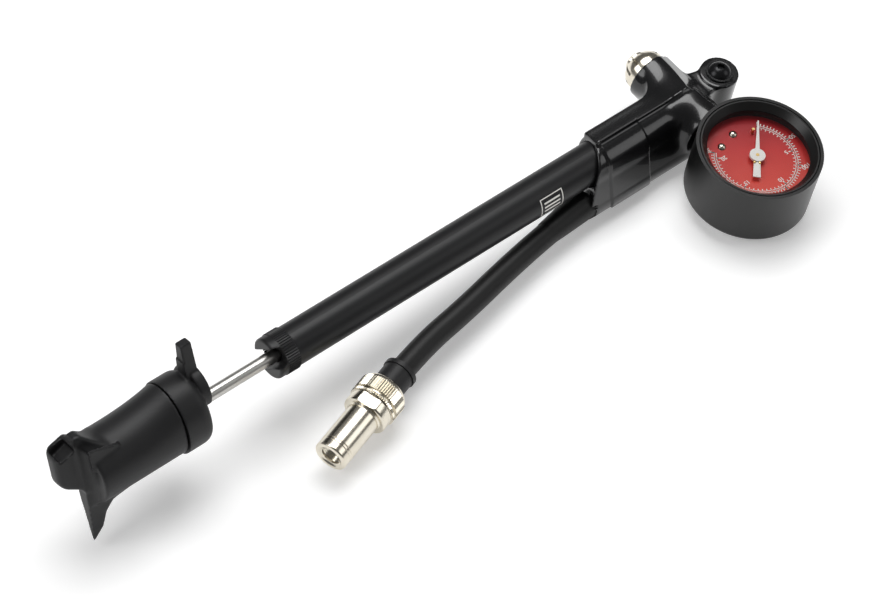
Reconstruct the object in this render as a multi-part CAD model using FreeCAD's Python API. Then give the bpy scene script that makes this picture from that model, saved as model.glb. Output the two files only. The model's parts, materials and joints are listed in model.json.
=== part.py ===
"""Hand-held high-pressure suspension pump, as an assembly of separate pieces. Millimetres.

Frame: +X runs along the barrel towards the head, +Y from the gauge towards the bleed valve,
+Z is the gauge's dial normal. The origin is the centre of the barrel's clip seat, on its axis.
"""
import FreeCAD, Part
import math
import os

V = FreeCAD.Vector
AX, AY, AZ = V(1, 0, 0), V(0, 1, 0), V(0, 0, 1)

# Clearances
SEAT_GAP = 0.05          # between pieces that are pressed, screwed or glued together
RUN_GAP = 0.08           # radial, between a shaft and its hole
FREE_GAP = 0.4           # between pieces that move past each other

# Barrel and its cap
BARREL_R = 8.0
BARREL_WALL = 1.2
SEAT_TO_MOUTH = 71.5     # clip seat centre to the mouth of the tube
SEAT_TO_CROSS = 126.2    # clip seat centre to the cross tube's axis
END_TO_CROSS = 22.0      # end of the tube to the cross tube's axis
CAP_LENGTH = 9.0
CAP_PROUD = 0.4          # the cap's knurl stands this far out of the barrel
CAP_SPIGOT = 9.0
SLOT_WIDTH = 8.0
SLOT_DEPTH = 4.5
SLOT_TURN = 40.0         # degrees from +Y towards +Z to the line through the two prongs

# Rod, bushing and piston
ROD_R = 2.5
ROD_OUT = 33.0           # bare rod between the cap and the handle at rest
BUSH_WALL = 1.6
BUSH_LENGTH = 10.0
WIPER_LENGTH = 1.4
PISTON_LENGTH = 10.0
PISTON_REST_GAP = 6.0    # piston to the chamber's end with the handle pushed home
SEAL_WIDTH = 2.4
SEAL_DEPTH = 1.3

# Handle
HANDLE_TURN = 72.0       # degrees from +Y towards +Z to the thumb tab
GRIP_R = 13.0
GRIP_LENGTH = 38.0
GRIP_FLARE = 2.2
NECK_R = 9.0
COLLAR_LENGTH = 12.0
COLLAR_R = 13.6
TAB_THICK = 5.0
TAB_WIDTH = 7.0
TAB_HEIGHT = 29.5
FIN_REACH = 33.0
FIN_TOP = 18.5
FIN_DEPTH = 6.5
END_LENGTH = 8.5
CLIP_LENGTH = 1.2
ROD_NUT_R = 5.2
ROD_NUT_LENGTH = 6.0

# Head casting
HEAD_WALL = 1.6          # casting wall round the barrel
CROSS_R = 10.0
CROSS_PLUS = 19.5        # cross tube, from the barrel's axis towards the bleed valve
LIP_SLANT = 0.43         # how far the collar's lip leans along X for each millimetre of Y
LIP_X = 75.7
LUG_OUT = 20.4           # lug screw's axis past the cross tube's axis
LUG_ASIDE = 1.5          # lug screw's axis past the barrel's axis, towards the bleed valve
LUG_R = 7.75
LUG_HALF = 6.4
RIDGE_TURN = 61.0        # degrees from +Y towards +Z to the flat ridge on top
RIDGE_WIDTH = 11.0
LOBE_R = 6.6
LOBE_END = 96.0

# One-way valve between the barrel and the cross tube
VALVE_SEAT_R = 3.6
VALVE_SEAT_LENGTH = 4.0
VALVE_HOLE_R = 1.0
BALL_R = 1.6
BALL_SPRING_R = 1.45
WIRE_R = 0.2
PASSAGE_R = 1.2

# Lug screw, an M5 button head, and its washer
SCREW_R = 2.5
SCREW_HEAD_R = 4.75
SCREW_HEAD_HEIGHT = 2.75
SCREW_LENGTH = 9.0
SCREW_KEY = 3.0          # hexagon, across flats
WASHER_R = 5.6
WASHER_THICK = 0.8

# Gauge
GAUGE_R = 24.9
GAUGE_WALL = 1.3
GAUGE_CLEAR = 15.1       # near side of the case to the barrel's axis
GAUGE_BACK = 11.0
GAUGE_FRONT = 16.0
BEZEL_WIDTH = 3.4
LENS_DEPTH = 2.6         # lens under the rim
LENS_THICK = 1.6
DIAL_DEPTH = 7.2         # dial's face under the rim
DIAL_THICK = 0.6
STEM_R = 4.95
STEM_BORE_R = 1.5
SOCKET_WIDTH = 9.0
SOCKET_DEEP = 8.0
SOCKET_DROP = 3.0        # socket block under the stem's axis
NEEDLE_TURN = 45.0       # needle's zero, degrees from +X towards +Y
NEEDLE_CLEAR = 6.1       # needle's tip to the wall of the case
NEEDLE_TAIL = 10.5
HUB_R = 3.1
NEEDLE_THICK = 0.5
NEEDLE_LIFT = 1.6        # needle over the dial
BOURDON_CLEAR = 6.4      # tube's inner side to the wall of the case
BOURDON_WIDE = 1.3
BOURDON_HIGH = 2.6
MODULE = 0.5             # gear module of the movement
PINION_TEETH = 10
SECTOR_TEETH = 50        # teeth of the whole wheel that the sector is cut from
GEAR_THICK = 1.0
SPINDLE_R = 0.7
PLATE_THICK = 0.8
PLATE_SPAN = 3.0
DIAL_SCREW_R = 14.0
DIAL_SCREW_TURNS = (121.0, 87.0)
STOP_PIN_R = 0.6
STOP_PIN_HEIGHT = 2.6

# Bleed valve
BLEED_R = 8.7
BLEED_LENGTH = 7.5
BLEED_SHANK = 7.0
BUTTON_R = 4.4
BUTTON_PROUD = 2.2
BUTTON_TRAVEL = 1.5
BUTTON_SKIRT = 1.5        # button's head below the body's face
SPRING_ROOM = 2.0         # pocket left under the pressed button
BLEED_SPRING_R = 2.8
BLEED_SPRING_TURNS = 4
BLEED_SEAL_ROOM = 0.8     # seal's length between shank and disc
DISC_CLEAR = 1.6          # disc's edge to the cross bore
BUTTON_STEM_R = 1.6

# Hose and its coupler
HOSE_R = 4.75
HOSE_Z = -(BARREL_R + 4.9)
HOSE_ROUTE = [           # from the head's socket to the end inside the coupler's ferrule
    V(70.5, -7.4, HOSE_Z),
    V(48.0, -10.0, HOSE_Z),
    V(24.0, -13.8, HOSE_Z - 0.2),
    V(1.0, -18.3, HOSE_Z - 0.6),
    V(-24.8, -22.0, HOSE_Z - 0.8),
    V(-43.8, -27.7, HOSE_Z - 1.2),
]
BOOT_LENGTH = 22.0
BOOT_R = 6.0
BOOT_TIP_R = 5.35
BARB_R = 2.9
BARB_LENGTH = 18.0
FERRULE_R = 6.2
FERRULE_LENGTH = 7.1     # sleeve over the hose
FERRULE_LIP = 0.45
FERRULE_LIP_LENGTH = 1.8
FERRULE_NOSE = 2.3       # solid in front of the hose's end
NUT_R = 9.5
NUT_LENGTH = 9.8
NUT_BACK = 3.0           # wall that the swivel passes through
NUT_BORE_R = 6.0
STEP_R = 8.9
STEP_LENGTH = 5.0
NOZZLE_R = 6.6
NOZZLE_LENGTH = 21.5
NOZZLE_SPIGOT = 4.5
THREAD_R = 3.85          # 7.7 mm valve thread
THREAD_LENGTH = 9.0
MOUTH_R = 4.5
SEAL_POCKET_R = 4.2
SWIVEL_R = 3.6
SWIVEL_LIP = 1.2
VALVE_SEAL_LENGTH = 2.0
PUSH_PIN_R = 0.8

# Places that follow from the sizes above
MOUTH_X = -SEAT_TO_MOUTH
CAP_X = MOUTH_X - CAP_LENGTH
TUBE_END_X = SEAT_TO_CROSS - END_TO_CROSS
SPRING_END_X = TUBE_END_X + VALVE_SEAT_LENGTH + 7.0
COLLAR_X = CAP_X - ROD_OUT
SEAM_X = COLLAR_X - COLLAR_LENGTH
FIN_X = SEAM_X - GRIP_LENGTH
PISTON_X = TUBE_END_X - PISTON_REST_GAP - ROD_OUT
HEAD_R = BARREL_R + HEAD_WALL
GAUGE_TO_AXIS = GAUGE_R + GAUGE_CLEAR
CROSS_BORE_R = STEM_R + SEAT_GAP
BARREL_BORE_R = BARREL_R - BARREL_WALL
BUSH_R = ROD_R + RUN_GAP + BUSH_WALL
PISTON_R = BARREL_BORE_R - FREE_GAP
SEAL_IN_R = PISTON_R - SEAL_DEPTH
SEAL_OUT_R = BARREL_BORE_R - RUN_GAP
CROSS_MINUS = GAUGE_CLEAR - FREE_GAP
LUG_C = V(SEAT_TO_CROSS + LUG_OUT, LUG_ASIDE, 0)
GAUGE_C = V(SEAT_TO_CROSS, -GAUGE_TO_AXIS, 0)
CASE_IN_R = GAUGE_R - GAUGE_WALL
NEEDLE_REACH = CASE_IN_R - NEEDLE_CLEAR
BOURDON_R = CASE_IN_R - BOURDON_CLEAR
LENS_TOP = GAUGE_FRONT - LENS_DEPTH
DIAL_TOP = GAUGE_FRONT - DIAL_DEPTH
NEEDLE_Z = DIAL_TOP + NEEDLE_LIFT
PINION_PITCH_R = MODULE * PINION_TEETH / 2
SECTOR_PITCH_R = MODULE * SECTOR_TEETH / 2
PLATE_TOP = DIAL_TOP - DIAL_THICK - 1.0
PLATE_LOW = PLATE_TOP - PLATE_THICK - PLATE_SPAN
GEAR_Z = PLATE_LOW + PLATE_THICK + (PLATE_SPAN - GEAR_THICK) / 2
SECTOR_C = GAUGE_C - AX * (PINION_PITCH_R + SECTOR_PITCH_R)
HANDLE_UP = V(0, math.cos(math.radians(HANDLE_TURN)), math.sin(math.radians(HANDLE_TURN)))
HANDLE_SIDE = HANDLE_UP.cross(AX)
COUPLER_DIR = (HOSE_ROUTE[-1] - HOSE_ROUTE[-2]).normalize()
SOCKET_DIR = (HOSE_ROUTE[0] - HOSE_ROUTE[1]).normalize()
HOSE_START = HOSE_ROUTE[0]
HOSE_END = HOSE_ROUTE[-1]
BLEED_Y = CROSS_PLUS


# Helpers
def cyl(radius, start, end):
    """Solid cylinder between two points."""
    along = end - start
    return Part.makeCylinder(radius, along.Length, start, along)


def ring(outer, inner, start, end):
    """Tube between two points."""
    reach = (end - start).normalize()
    return cyl(outer, start, end).cut(cyl(inner, start - reach, end + reach))


def cone(r_start, r_end, start, end):
    along = end - start
    return Part.makeCone(r_start, r_end, along.Length, start, along)


def on_x(x):
    return V(x, 0, 0)


def handle_point(x, side, up):
    """Point in the handle's own axes: along X, sideways, and towards the thumb tab."""
    return on_x(x) + HANDLE_SIDE * side + HANDLE_UP * up


def wire(points):
    return Part.makePolygon(points + [points[0]])


def prism(points, along):
    return Part.Face(wire(points)).extrude(along)


def turned(outline, axis_start, axis):
    """Solid of revolution from (distance along the axis, radius) pairs."""
    across = axis.cross(AZ) if abs(axis.dot(AZ)) < 0.9 else axis.cross(AX)
    across = across.normalize()
    points = [axis_start + axis * a + across * r for a, r in outline]
    return Part.Face(wire(points)).revolve(axis_start, axis, 360)


def fuse(shapes):
    return shapes[0].multiFuse(shapes[1:]).removeSplitter()


def hexagon(across_flats, centre, axis, across, depth):
    corner = across_flats / math.sqrt(3)
    other = axis.cross(across)
    points = []
    for i in range(6):
        turn = math.radians(60 * i)
        points.append(centre + across * (corner * math.cos(turn)) + other * (corner * math.sin(turn)))
    return prism(points, axis * depth)


def spring(radius, start, end, turns):
    """Coil spring of round wire between two points."""
    along = end - start
    height = along.Length - 2 * WIRE_R
    path = Part.makeHelix(height / turns, height, radius)
    section = Part.Wire(Part.makeCircle(WIRE_R, V(radius, 0, 0), AY))
    coil = Part.Wire(path.Edges).makePipeShell([section], True, True)
    coil.Placement = FreeCAD.Placement(start + along.normalize() * WIRE_R,
                                       FreeCAD.Rotation(AZ, along))
    return coil


# Barrel
def barrel_tube():
    return ring(BARREL_R, BARREL_BORE_R, on_x(MOUTH_X), on_x(TUBE_END_X))


def barrel_cap():
    cap = fuse([cyl(BARREL_R + CAP_PROUD, on_x(CAP_X), on_x(MOUTH_X)),
                cyl(BARREL_BORE_R - SEAT_GAP, on_x(MOUTH_X), on_x(MOUTH_X + CAP_SPIGOT))])
    cap = cap.cut(cyl(ROD_R + FREE_GAP, on_x(CAP_X - 1), on_x(MOUTH_X + CAP_SPIGOT + 1)))
    pocket_start = on_x(MOUTH_X + CAP_SPIGOT - BUSH_LENGTH - WIPER_LENGTH)
    cap = cap.cut(cyl(BUSH_R + SEAT_GAP, pocket_start, on_x(MOUTH_X + CAP_SPIGOT + 1)))
    turn = math.radians(SLOT_TURN)
    prongs = V(0, math.cos(turn), math.sin(turn))
    lane = AX.cross(prongs)
    half = SLOT_WIDTH / 2
    reach = BARREL_R * 2
    floor = on_x(CAP_X + SLOT_DEPTH - half)
    corners = [floor - lane * reach - prongs * half, floor - lane * reach + prongs * half,
               floor + lane * reach + prongs * half, floor + lane * reach - prongs * half]
    slot = fuse([prism(corners, AX * -SLOT_DEPTH), cyl(half, floor - lane * reach, floor + lane * reach)])
    return cap.cut(slot)


def rod_bushing():
    end = MOUTH_X + CAP_SPIGOT
    return ring(BUSH_R, ROD_R + RUN_GAP, on_x(end - BUSH_LENGTH), on_x(end))


def rod_wiper():
    end = MOUTH_X + CAP_SPIGOT - BUSH_LENGTH
    return ring(BUSH_R, ROD_R + RUN_GAP, on_x(end - WIPER_LENGTH), on_x(end))


# Rod and piston
def piston_rod():
    return cyl(ROD_R, on_x(SEAM_X - ROD_NUT_LENGTH * 2), on_x(PISTON_X - PISTON_LENGTH / 2))


def piston_head():
    back = PISTON_X - PISTON_LENGTH
    body = cyl(PISTON_R, on_x(back), on_x(PISTON_X))
    groove_mid = PISTON_X - PISTON_LENGTH / 2
    half = SEAL_WIDTH / 2 + SEAT_GAP
    groove = ring(PISTON_R + 1, SEAL_IN_R - RUN_GAP, on_x(groove_mid - half), on_x(groove_mid + half))
    hole = cyl(ROD_R + SEAT_GAP, on_x(back - 1), on_x(groove_mid + SEAT_GAP))
    return body.cut(groove).cut(hole)


def piston_seal():
    mid = PISTON_X - PISTON_LENGTH / 2
    return ring(SEAL_OUT_R, SEAL_IN_R, on_x(mid - SEAL_WIDTH / 2), on_x(mid + SEAL_WIDTH / 2))


# Handle
def grip():
    flare_x = SEAM_X - COLLAR_LENGTH / 2
    outline = [(FIN_X, 0), (FIN_X, GRIP_R - 1.5), (FIN_X + 1.5, GRIP_R), (flare_x, GRIP_R),
               (SEAM_X, GRIP_R + GRIP_FLARE / 4), (SEAM_X, NECK_R), (COLLAR_X - FREE_GAP, NECK_R),
               (COLLAR_X - FREE_GAP, 0)]
    body = turned(outline, on_x(0), AX)
    swell_low = Part.Wire(Part.makeCircle(GRIP_R - 1, handle_point(FIN_X + GRIP_LENGTH / 2, 0, 0), AX))
    swell_high = Part.Wire(Part.makeCircle(GRIP_R - 1, handle_point(SEAM_X, 0, GRIP_FLARE), AX))
    swell = Part.makeLoft([swell_low, swell_high], True, True)
    shape = fuse([body, swell, grip_fin(), grip_end()])
    clip_x = COLLAR_X - FREE_GAP - CLIP_LENGTH * 2
    shape = shape.cut(ring(NECK_R + 1, NECK_R - 1, on_x(clip_x), on_x(clip_x + CLIP_LENGTH)))
    nut_end = SEAM_X - ROD_NUT_LENGTH
    shape = shape.cut(cyl(ROD_R + SEAT_GAP, on_x(SEAM_X - ROD_NUT_LENGTH * 2 - SEAT_GAP), on_x(COLLAR_X)))
    return shape.cut(cyl(ROD_NUT_R + SEAT_GAP, on_x(nut_end - ROD_NUT_LENGTH - SEAT_GAP), on_x(nut_end)))


def grip_fin():
    """Fin across the handle's end: a narrow face that widens as it runs back into the grip."""
    face = [(-0.6, -FIN_REACH), (0.6, -FIN_REACH), (3.2, -GRIP_R), (3.6, 0.7 * FIN_TOP),
            (1.8, FIN_TOP), (-1.8, FIN_TOP), (-3.6, 0.7 * FIN_TOP), (-3.2, -GRIP_R)]
    root = [(-2.5, -1.2 * GRIP_R), (2.5, -1.2 * GRIP_R), (7.5, -0.8 * GRIP_R), (9.0, 0.6 * GRIP_R),
            (4.5, 1.1 * GRIP_R), (-4.5, 1.1 * GRIP_R), (-9.0, 0.6 * GRIP_R), (-7.5, -0.8 * GRIP_R)]
    low = wire([handle_point(FIN_X, s, u) for s, u in face])
    high = wire([handle_point(FIN_X + FIN_DEPTH, s, u) for s, u in root])
    return Part.makeLoft([low, high], True, True)


def grip_end():
    """Block behind the fin, smaller at its outer end, with a slanted recess on top."""
    base = [(-5.5, -0.6 * GRIP_R), (5.5, -0.6 * GRIP_R), (5.5, FIN_TOP - 2), (-5.5, FIN_TOP - 2)]
    end = [(-4.0, 0), (4.0, 0), (4.0, FIN_TOP - 3.5), (-4.0, FIN_TOP - 3.5)]
    low = wire([handle_point(FIN_X + 1, s, u) for s, u in base])
    high = wire([handle_point(FIN_X - END_LENGTH, s, u) for s, u in end])
    block = Part.makeLoft([low, high], True, True)
    recess = [handle_point(FIN_X - 1.5, -2.4, FIN_TOP), handle_point(FIN_X - 1.5, -2.4, FIN_TOP - 4),
              handle_point(FIN_X - END_LENGTH + 1.5, -2.4, FIN_TOP - 6),
              handle_point(FIN_X - END_LENGTH + 1.5, -2.4, FIN_TOP)]
    return block.cut(prism(recess, HANDLE_SIDE * 4.8))


def lock_collar():
    """Ring that turns on the grip's neck, with the thumb tab and a half-round boss in front."""
    front = COLLAR_X
    back = SEAM_X + FREE_GAP
    outline = [(back, NECK_R + RUN_GAP), (back, COLLAR_R), (front - 3, COLLAR_R), (front - 1, COLLAR_R - 0.8),
               (front, COLLAR_R - 2.4), (front, NECK_R + RUN_GAP)]
    body = turned(outline, on_x(0), AX)
    tab_back = front - 2.5
    half = TAB_WIDTH / 2
    foot = COLLAR_R - 2
    tab = [handle_point(tab_back, -half, foot), handle_point(tab_back, -half / 2, TAB_HEIGHT),
           handle_point(tab_back, half / 2, TAB_HEIGHT), handle_point(tab_back, half, foot)]
    boss_c = handle_point(front - 1, 0, COLLAR_R - 5)
    boss = cyl(NECK_R, boss_c, boss_c + AX * 4)
    boss = boss.common(cyl(COLLAR_R + 5, on_x(front - 1), on_x(front + 3)))
    shape = fuse([body, prism(tab, AX * TAB_THICK), boss])
    return shape.cut(cyl(NECK_R + RUN_GAP, on_x(back - 1), on_x(front + 5)))


def collar_clip():
    """Snap ring in the neck's groove that holds the collar."""
    x = COLLAR_X - FREE_GAP - CLIP_LENGTH * 2 + SEAT_GAP
    return ring(NECK_R - SEAT_GAP, NECK_R - 1 + SEAT_GAP, on_x(x), on_x(x + CLIP_LENGTH - 2 * SEAT_GAP))


def rod_nut():
    start = SEAM_X - ROD_NUT_LENGTH * 2
    return ring(ROD_NUT_R, ROD_R + SEAT_GAP, on_x(start), on_x(start + ROD_NUT_LENGTH - SEAT_GAP))


# Head casting
def head_neck():
    """Casting round the barrel: the collar, the flat ridge, and the lobe that holds the hose."""
    lobe_c = V(0, HOSE_START.y, HOSE_START.z)
    start = HOSE_START.x
    collar = cyl(HEAD_R, on_x(start - 8), on_x(SEAT_TO_CROSS))
    turn = math.radians(RIDGE_TURN)
    up = V(0, math.cos(turn), math.sin(turn))
    side = AX.cross(up)
    half = RIDGE_WIDTH / 2
    ridge = [on_x(start - 8) + side * half, on_x(start - 8) + side * half + up * (HEAD_R + 0.2),
             on_x(start - 8) - side * half + up * (HEAD_R + 0.2), on_x(start - 8) - side * half]
    ridge_bar = prism(ridge, AX * (SEAT_TO_CROSS - start + 8))
    across = lobe_c.cross(AX).normalize()
    fair = [on_x(start - 8) + across * (HEAD_R - 0.3), on_x(start - 8) - across * (HEAD_R - 0.3),
            on_x(start - 8) + lobe_c - across * LOBE_R, on_x(start - 8) + lobe_c + across * LOBE_R]
    fairing = prism(fair, AX * (LOBE_END - start + 8))
    lobe = cyl(LOBE_R, on_x(start - 8) + lobe_c, on_x(LOBE_END) + lobe_c)
    neck = fuse([collar, ridge_bar, fairing, lobe])
    slant = V(1, -LIP_SLANT, -0.2).normalize()
    mid = on_x(LIP_X)
    lean = AY - slant * AY.dot(slant)
    lean = lean.normalize()
    other = slant.cross(lean)
    far = 60
    plate = [mid + lean * far + other * far, mid - lean * far + other * far,
             mid - lean * far - other * far, mid + lean * far - other * far]
    return neck.cut(prism(plate, slant * -far))


def lobe_end():
    return HOSE_START + SOCKET_DIR * ((LOBE_END - HOSE_START.x) / SOCKET_DIR.x)


def gallery_end():
    """Where the hose's air passage meets the cross tube's bore."""
    return V(SEAT_TO_CROSS, -CROSS_BORE_R, -CROSS_BORE_R / 2)


def head_casting():
    gallery = cone(LOBE_R * 0.85, LOBE_R * 0.7, lobe_end() - SOCKET_DIR, gallery_end())
    cross = cyl(CROSS_R, V(SEAT_TO_CROSS, -CROSS_MINUS, 0), V(SEAT_TO_CROSS, CROSS_PLUS, 0))
    boss = cyl(LUG_R, LUG_C - AZ * LUG_HALF, LUG_C + AZ * (LUG_HALF - WASHER_THICK))
    web_plan = [V(SEAT_TO_CROSS, -LUG_R, 0), LUG_C - AY * (LUG_R * 0.7), LUG_C + AY * (LUG_R * 0.8),
                V(SEAT_TO_CROSS, LUG_R * 1.6, 0)]
    web = prism([point - AZ * (LUG_HALF * 0.9) for point in web_plan], AZ * (LUG_HALF * 1.6))
    shape = fuse([head_neck(), gallery, cross, boss, web])
    shape = shape.cut(cyl(BARREL_R + SEAT_GAP, on_x(0), on_x(TUBE_END_X + SEAT_GAP)))
    shape = shape.cut(cyl(CROSS_BORE_R, V(SEAT_TO_CROSS, -CROSS_MINUS - 1, 0), V(SEAT_TO_CROSS, CROSS_PLUS + 1, 0)))
    seat_end = TUBE_END_X + VALVE_SEAT_LENGTH + 2 * SEAT_GAP
    shape = shape.cut(cyl(VALVE_SEAT_R + SEAT_GAP, on_x(TUBE_END_X), on_x(seat_end)))
    shape = shape.cut(cyl(BALL_R + FREE_GAP * 2, on_x(TUBE_END_X), on_x(SPRING_END_X)))
    shape = shape.cut(cyl(PASSAGE_R, on_x(TUBE_END_X), on_x(SEAT_TO_CROSS)))
    shape = shape.cut(cyl(BOOT_R + FREE_GAP, HOSE_START - SOCKET_DIR * BOOT_LENGTH, HOSE_START))
    shape = shape.cut(cyl(BARB_R + SEAT_GAP, HOSE_START - SOCKET_DIR, HOSE_START + SOCKET_DIR * BARB_LENGTH))
    shape = shape.cut(cyl(PASSAGE_R, HOSE_START, lobe_end()))
    shape = shape.cut(cyl(PASSAGE_R, lobe_end(), gallery_end()))
    shape = shape.cut(cyl(SCREW_R + SEAT_GAP, LUG_C + AZ * LUG_R, LUG_C - AZ * LUG_R))
    return shape


def tube_seal():
    """O-ring at the barrel's end inside the casting; a square section stands for it."""
    return ring(BARREL_BORE_R - SEAT_GAP, VALVE_SEAT_R + 1, on_x(TUBE_END_X - 2), on_x(TUBE_END_X))


def valve_seat():
    start = TUBE_END_X + SEAT_GAP
    seat = cyl(VALVE_SEAT_R, on_x(start), on_x(start + VALVE_SEAT_LENGTH))
    pocket = cyl(BALL_R + FREE_GAP, on_x(start + VALVE_SEAT_LENGTH / 2), on_x(start + VALVE_SEAT_LENGTH + 1))
    return seat.cut(cyl(VALVE_HOLE_R, on_x(start - 1), on_x(start + VALVE_SEAT_LENGTH))).cut(pocket)


def ball_centre():
    return TUBE_END_X + SEAT_GAP + VALVE_SEAT_LENGTH / 2 + BALL_R + RUN_GAP


def valve_ball():
    return Part.makeSphere(BALL_R, on_x(ball_centre()))


def valve_spring():
    start = ball_centre() + BALL_R + RUN_GAP
    return spring(BALL_SPRING_R, on_x(start), on_x(SPRING_END_X), 6)


def lug_screw():
    seat = LUG_C + AZ * (LUG_HALF + SEAT_GAP)
    top = seat + AZ * SCREW_HEAD_HEIGHT
    rise = SCREW_HEAD_HEIGHT
    ball_r = (SCREW_HEAD_R ** 2 + rise ** 2) / (2 * rise)
    dome = Part.makeSphere(ball_r, top - AZ * ball_r).common(cyl(SCREW_HEAD_R, seat, top))
    shank = cyl(SCREW_R, seat - AZ * SCREW_LENGTH, seat + AZ * 0.5)
    key = hexagon(SCREW_KEY, top - AZ * 1.6, AZ, AX, 3)
    return fuse([dome, shank]).cut(key)


def lug_washer():
    top = LUG_C + AZ * LUG_HALF
    return ring(WASHER_R, SCREW_R + SEAT_GAP, top - AZ * WASHER_THICK, top)


# Gauge
def gauge_case():
    back = GAUGE_C - AZ * GAUGE_BACK
    front = GAUGE_C + AZ * GAUGE_FRONT
    outer = cyl(GAUGE_R, back, front)
    outer = outer.makeFillet(2.0, [edge for edge in outer.Edges if abs(edge.BoundBox.ZMax - back.z) < 1e-6])
    shape = outer.cut(cyl(CASE_IN_R, back + AZ * GAUGE_WALL, front + AZ))
    hole = cyl(STEM_R + SEAT_GAP, GAUGE_C, GAUGE_C + AY * (GAUGE_R + 1))
    return shape.cut(hole)


def gauge_bezel():
    """Ring inside the rim that holds the lens down."""
    outer = CASE_IN_R - SEAT_GAP
    return turned([(LENS_TOP, outer), (GAUGE_FRONT - 0.4, outer), (GAUGE_FRONT, outer - 0.4),
                   (GAUGE_FRONT, outer - 1.0), (LENS_TOP, outer - BEZEL_WIDTH)], GAUGE_C - AZ * GAUGE_C.z, AZ)


def gauge_lens():
    return cyl(CASE_IN_R - SEAT_GAP, GAUGE_C + AZ * (LENS_TOP - LENS_THICK), GAUGE_C + AZ * LENS_TOP)


def lens_spacer():
    """Ring between the dial and the lens."""
    return ring(CASE_IN_R - SEAT_GAP, CASE_IN_R - BEZEL_WIDTH * 0.7,
                GAUGE_C + AZ * DIAL_TOP, GAUGE_C + AZ * (LENS_TOP - LENS_THICK))


def dial_screw_points():
    points = []
    for turn in DIAL_SCREW_TURNS:
        angle = math.radians(turn)
        points.append(GAUGE_C + V(math.cos(angle), math.sin(angle), 0) * DIAL_SCREW_R)
    return points


def gauge_dial():
    top = GAUGE_C + AZ * DIAL_TOP
    dial = cyl(CASE_IN_R - SEAT_GAP, top - AZ * DIAL_THICK, top)
    dial = dial.cut(cyl(SPINDLE_R + FREE_GAP, top - AZ * 2, top + AZ))
    for point in dial_screw_points():
        dial = dial.cut(cyl(0.8, point, point + AZ * (DIAL_TOP + 1)))
    return dial


def dial_screws():
    screws = []
    for point in dial_screw_points():
        head = Part.makeSphere(1.9, point + AZ * (DIAL_TOP - 0.7)).common(
            cyl(1.9, point + AZ * DIAL_TOP, point + AZ * (DIAL_TOP + 2)))
        shank = cyl(0.75, point + AZ * (PLATE_TOP - SEAT_GAP), point + AZ * (DIAL_TOP + 0.2))
        screws.append(fuse([head, shank]))
    return Part.makeCompound(screws)


def needle_stop():
    """Pin on the dial that the needle rests against at zero."""
    angle = math.radians(NEEDLE_TURN)
    along = V(math.cos(angle), math.sin(angle), 0)
    beside = V(-along.y, along.x, 0)
    foot = GAUGE_C + along * 12.5 + beside * 1.9
    return cyl(STOP_PIN_R, foot + AZ * DIAL_TOP, foot + AZ * (DIAL_TOP + STOP_PIN_HEIGHT))


def gauge_needle():
    angle = math.radians(NEEDLE_TURN)
    along = V(math.cos(angle), math.sin(angle), 0)
    beside = V(-along.y, along.x, 0)
    low = GAUGE_C + AZ * NEEDLE_Z
    arm = [low + along * NEEDLE_REACH + beside * 0.25, low + beside * 1.0,
           low - along * HUB_R + beside * 1.3, low - along * NEEDLE_TAIL + beside * 1.5,
           low - along * NEEDLE_TAIL - beside * 1.5, low - along * HUB_R - beside * 1.3,
           low - beside * 1.0, low + along * NEEDLE_REACH - beside * 0.25]
    hub = cyl(HUB_R, low, low + AZ * (NEEDLE_THICK + 0.5))
    shape = fuse([prism(arm, AZ * NEEDLE_THICK), hub])
    return shape.cut(cyl(SPINDLE_R + SEAT_GAP, low - AZ, low + AZ * 2))


def gear(teeth, thick, centre, first, last, spoke):
    """Gear with straight-sided teeth; teeth number first to last are cut, and spoke turns the whole."""
    pitch_r = MODULE * teeth / 2
    root_r = pitch_r - 1.3 * MODULE
    tip_r = pitch_r + 0.85 * MODULE
    body = cyl(root_r, centre, centre + AZ * thick)
    step = 2 * math.pi / teeth
    parts = [body]
    for i in range(first, last + 1):
        mid = i * step + spoke
        corners = []
        for radius, half in ((root_r - 0.1, 0.30), (pitch_r, 0.21), (tip_r, 0.10)):
            corners.append((radius, half))
        points = [centre + V(r * math.cos(mid - h * step), r * math.sin(mid - h * step), 0) for r, h in corners]
        points += [centre + V(r * math.cos(mid + h * step), r * math.sin(mid + h * step), 0)
                   for r, h in reversed(corners)]
        parts.append(prism(points, AZ * thick))
    return fuse(parts)


def pinion():
    low = GAUGE_C + AZ * (PLATE_LOW + 0.1)
    wheel = gear(PINION_TEETH, GEAR_THICK, GAUGE_C + AZ * GEAR_Z, 0, PINION_TEETH - 1, math.pi / PINION_TEETH)
    return fuse([wheel, cyl(SPINDLE_R, low, GAUGE_C + AZ * (NEEDLE_Z + NEEDLE_THICK + 0.5))])


def sector_gear():
    low = SECTOR_C + AZ * GEAR_Z
    wheel = gear(SECTOR_TEETH, GEAR_THICK, low, -9, 2, 0)
    reach = SECTOR_PITCH_R * 1.3
    wedge = []
    for turn in (-70, -35, 0, 20):
        angle = math.radians(turn)
        wedge.append(low + V(math.cos(angle), math.sin(angle), 0) * reach)
    blade = wheel.common(prism([low] + wedge, AZ * GEAR_THICK))
    hub = cyl(2.2, low, low + AZ * GEAR_THICK)
    arbor = cyl(SPINDLE_R, SECTOR_C + AZ * (PLATE_LOW + 0.1), SECTOR_C + AZ * (PLATE_TOP - 0.1))
    return fuse([blade, hub, arbor])


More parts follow.
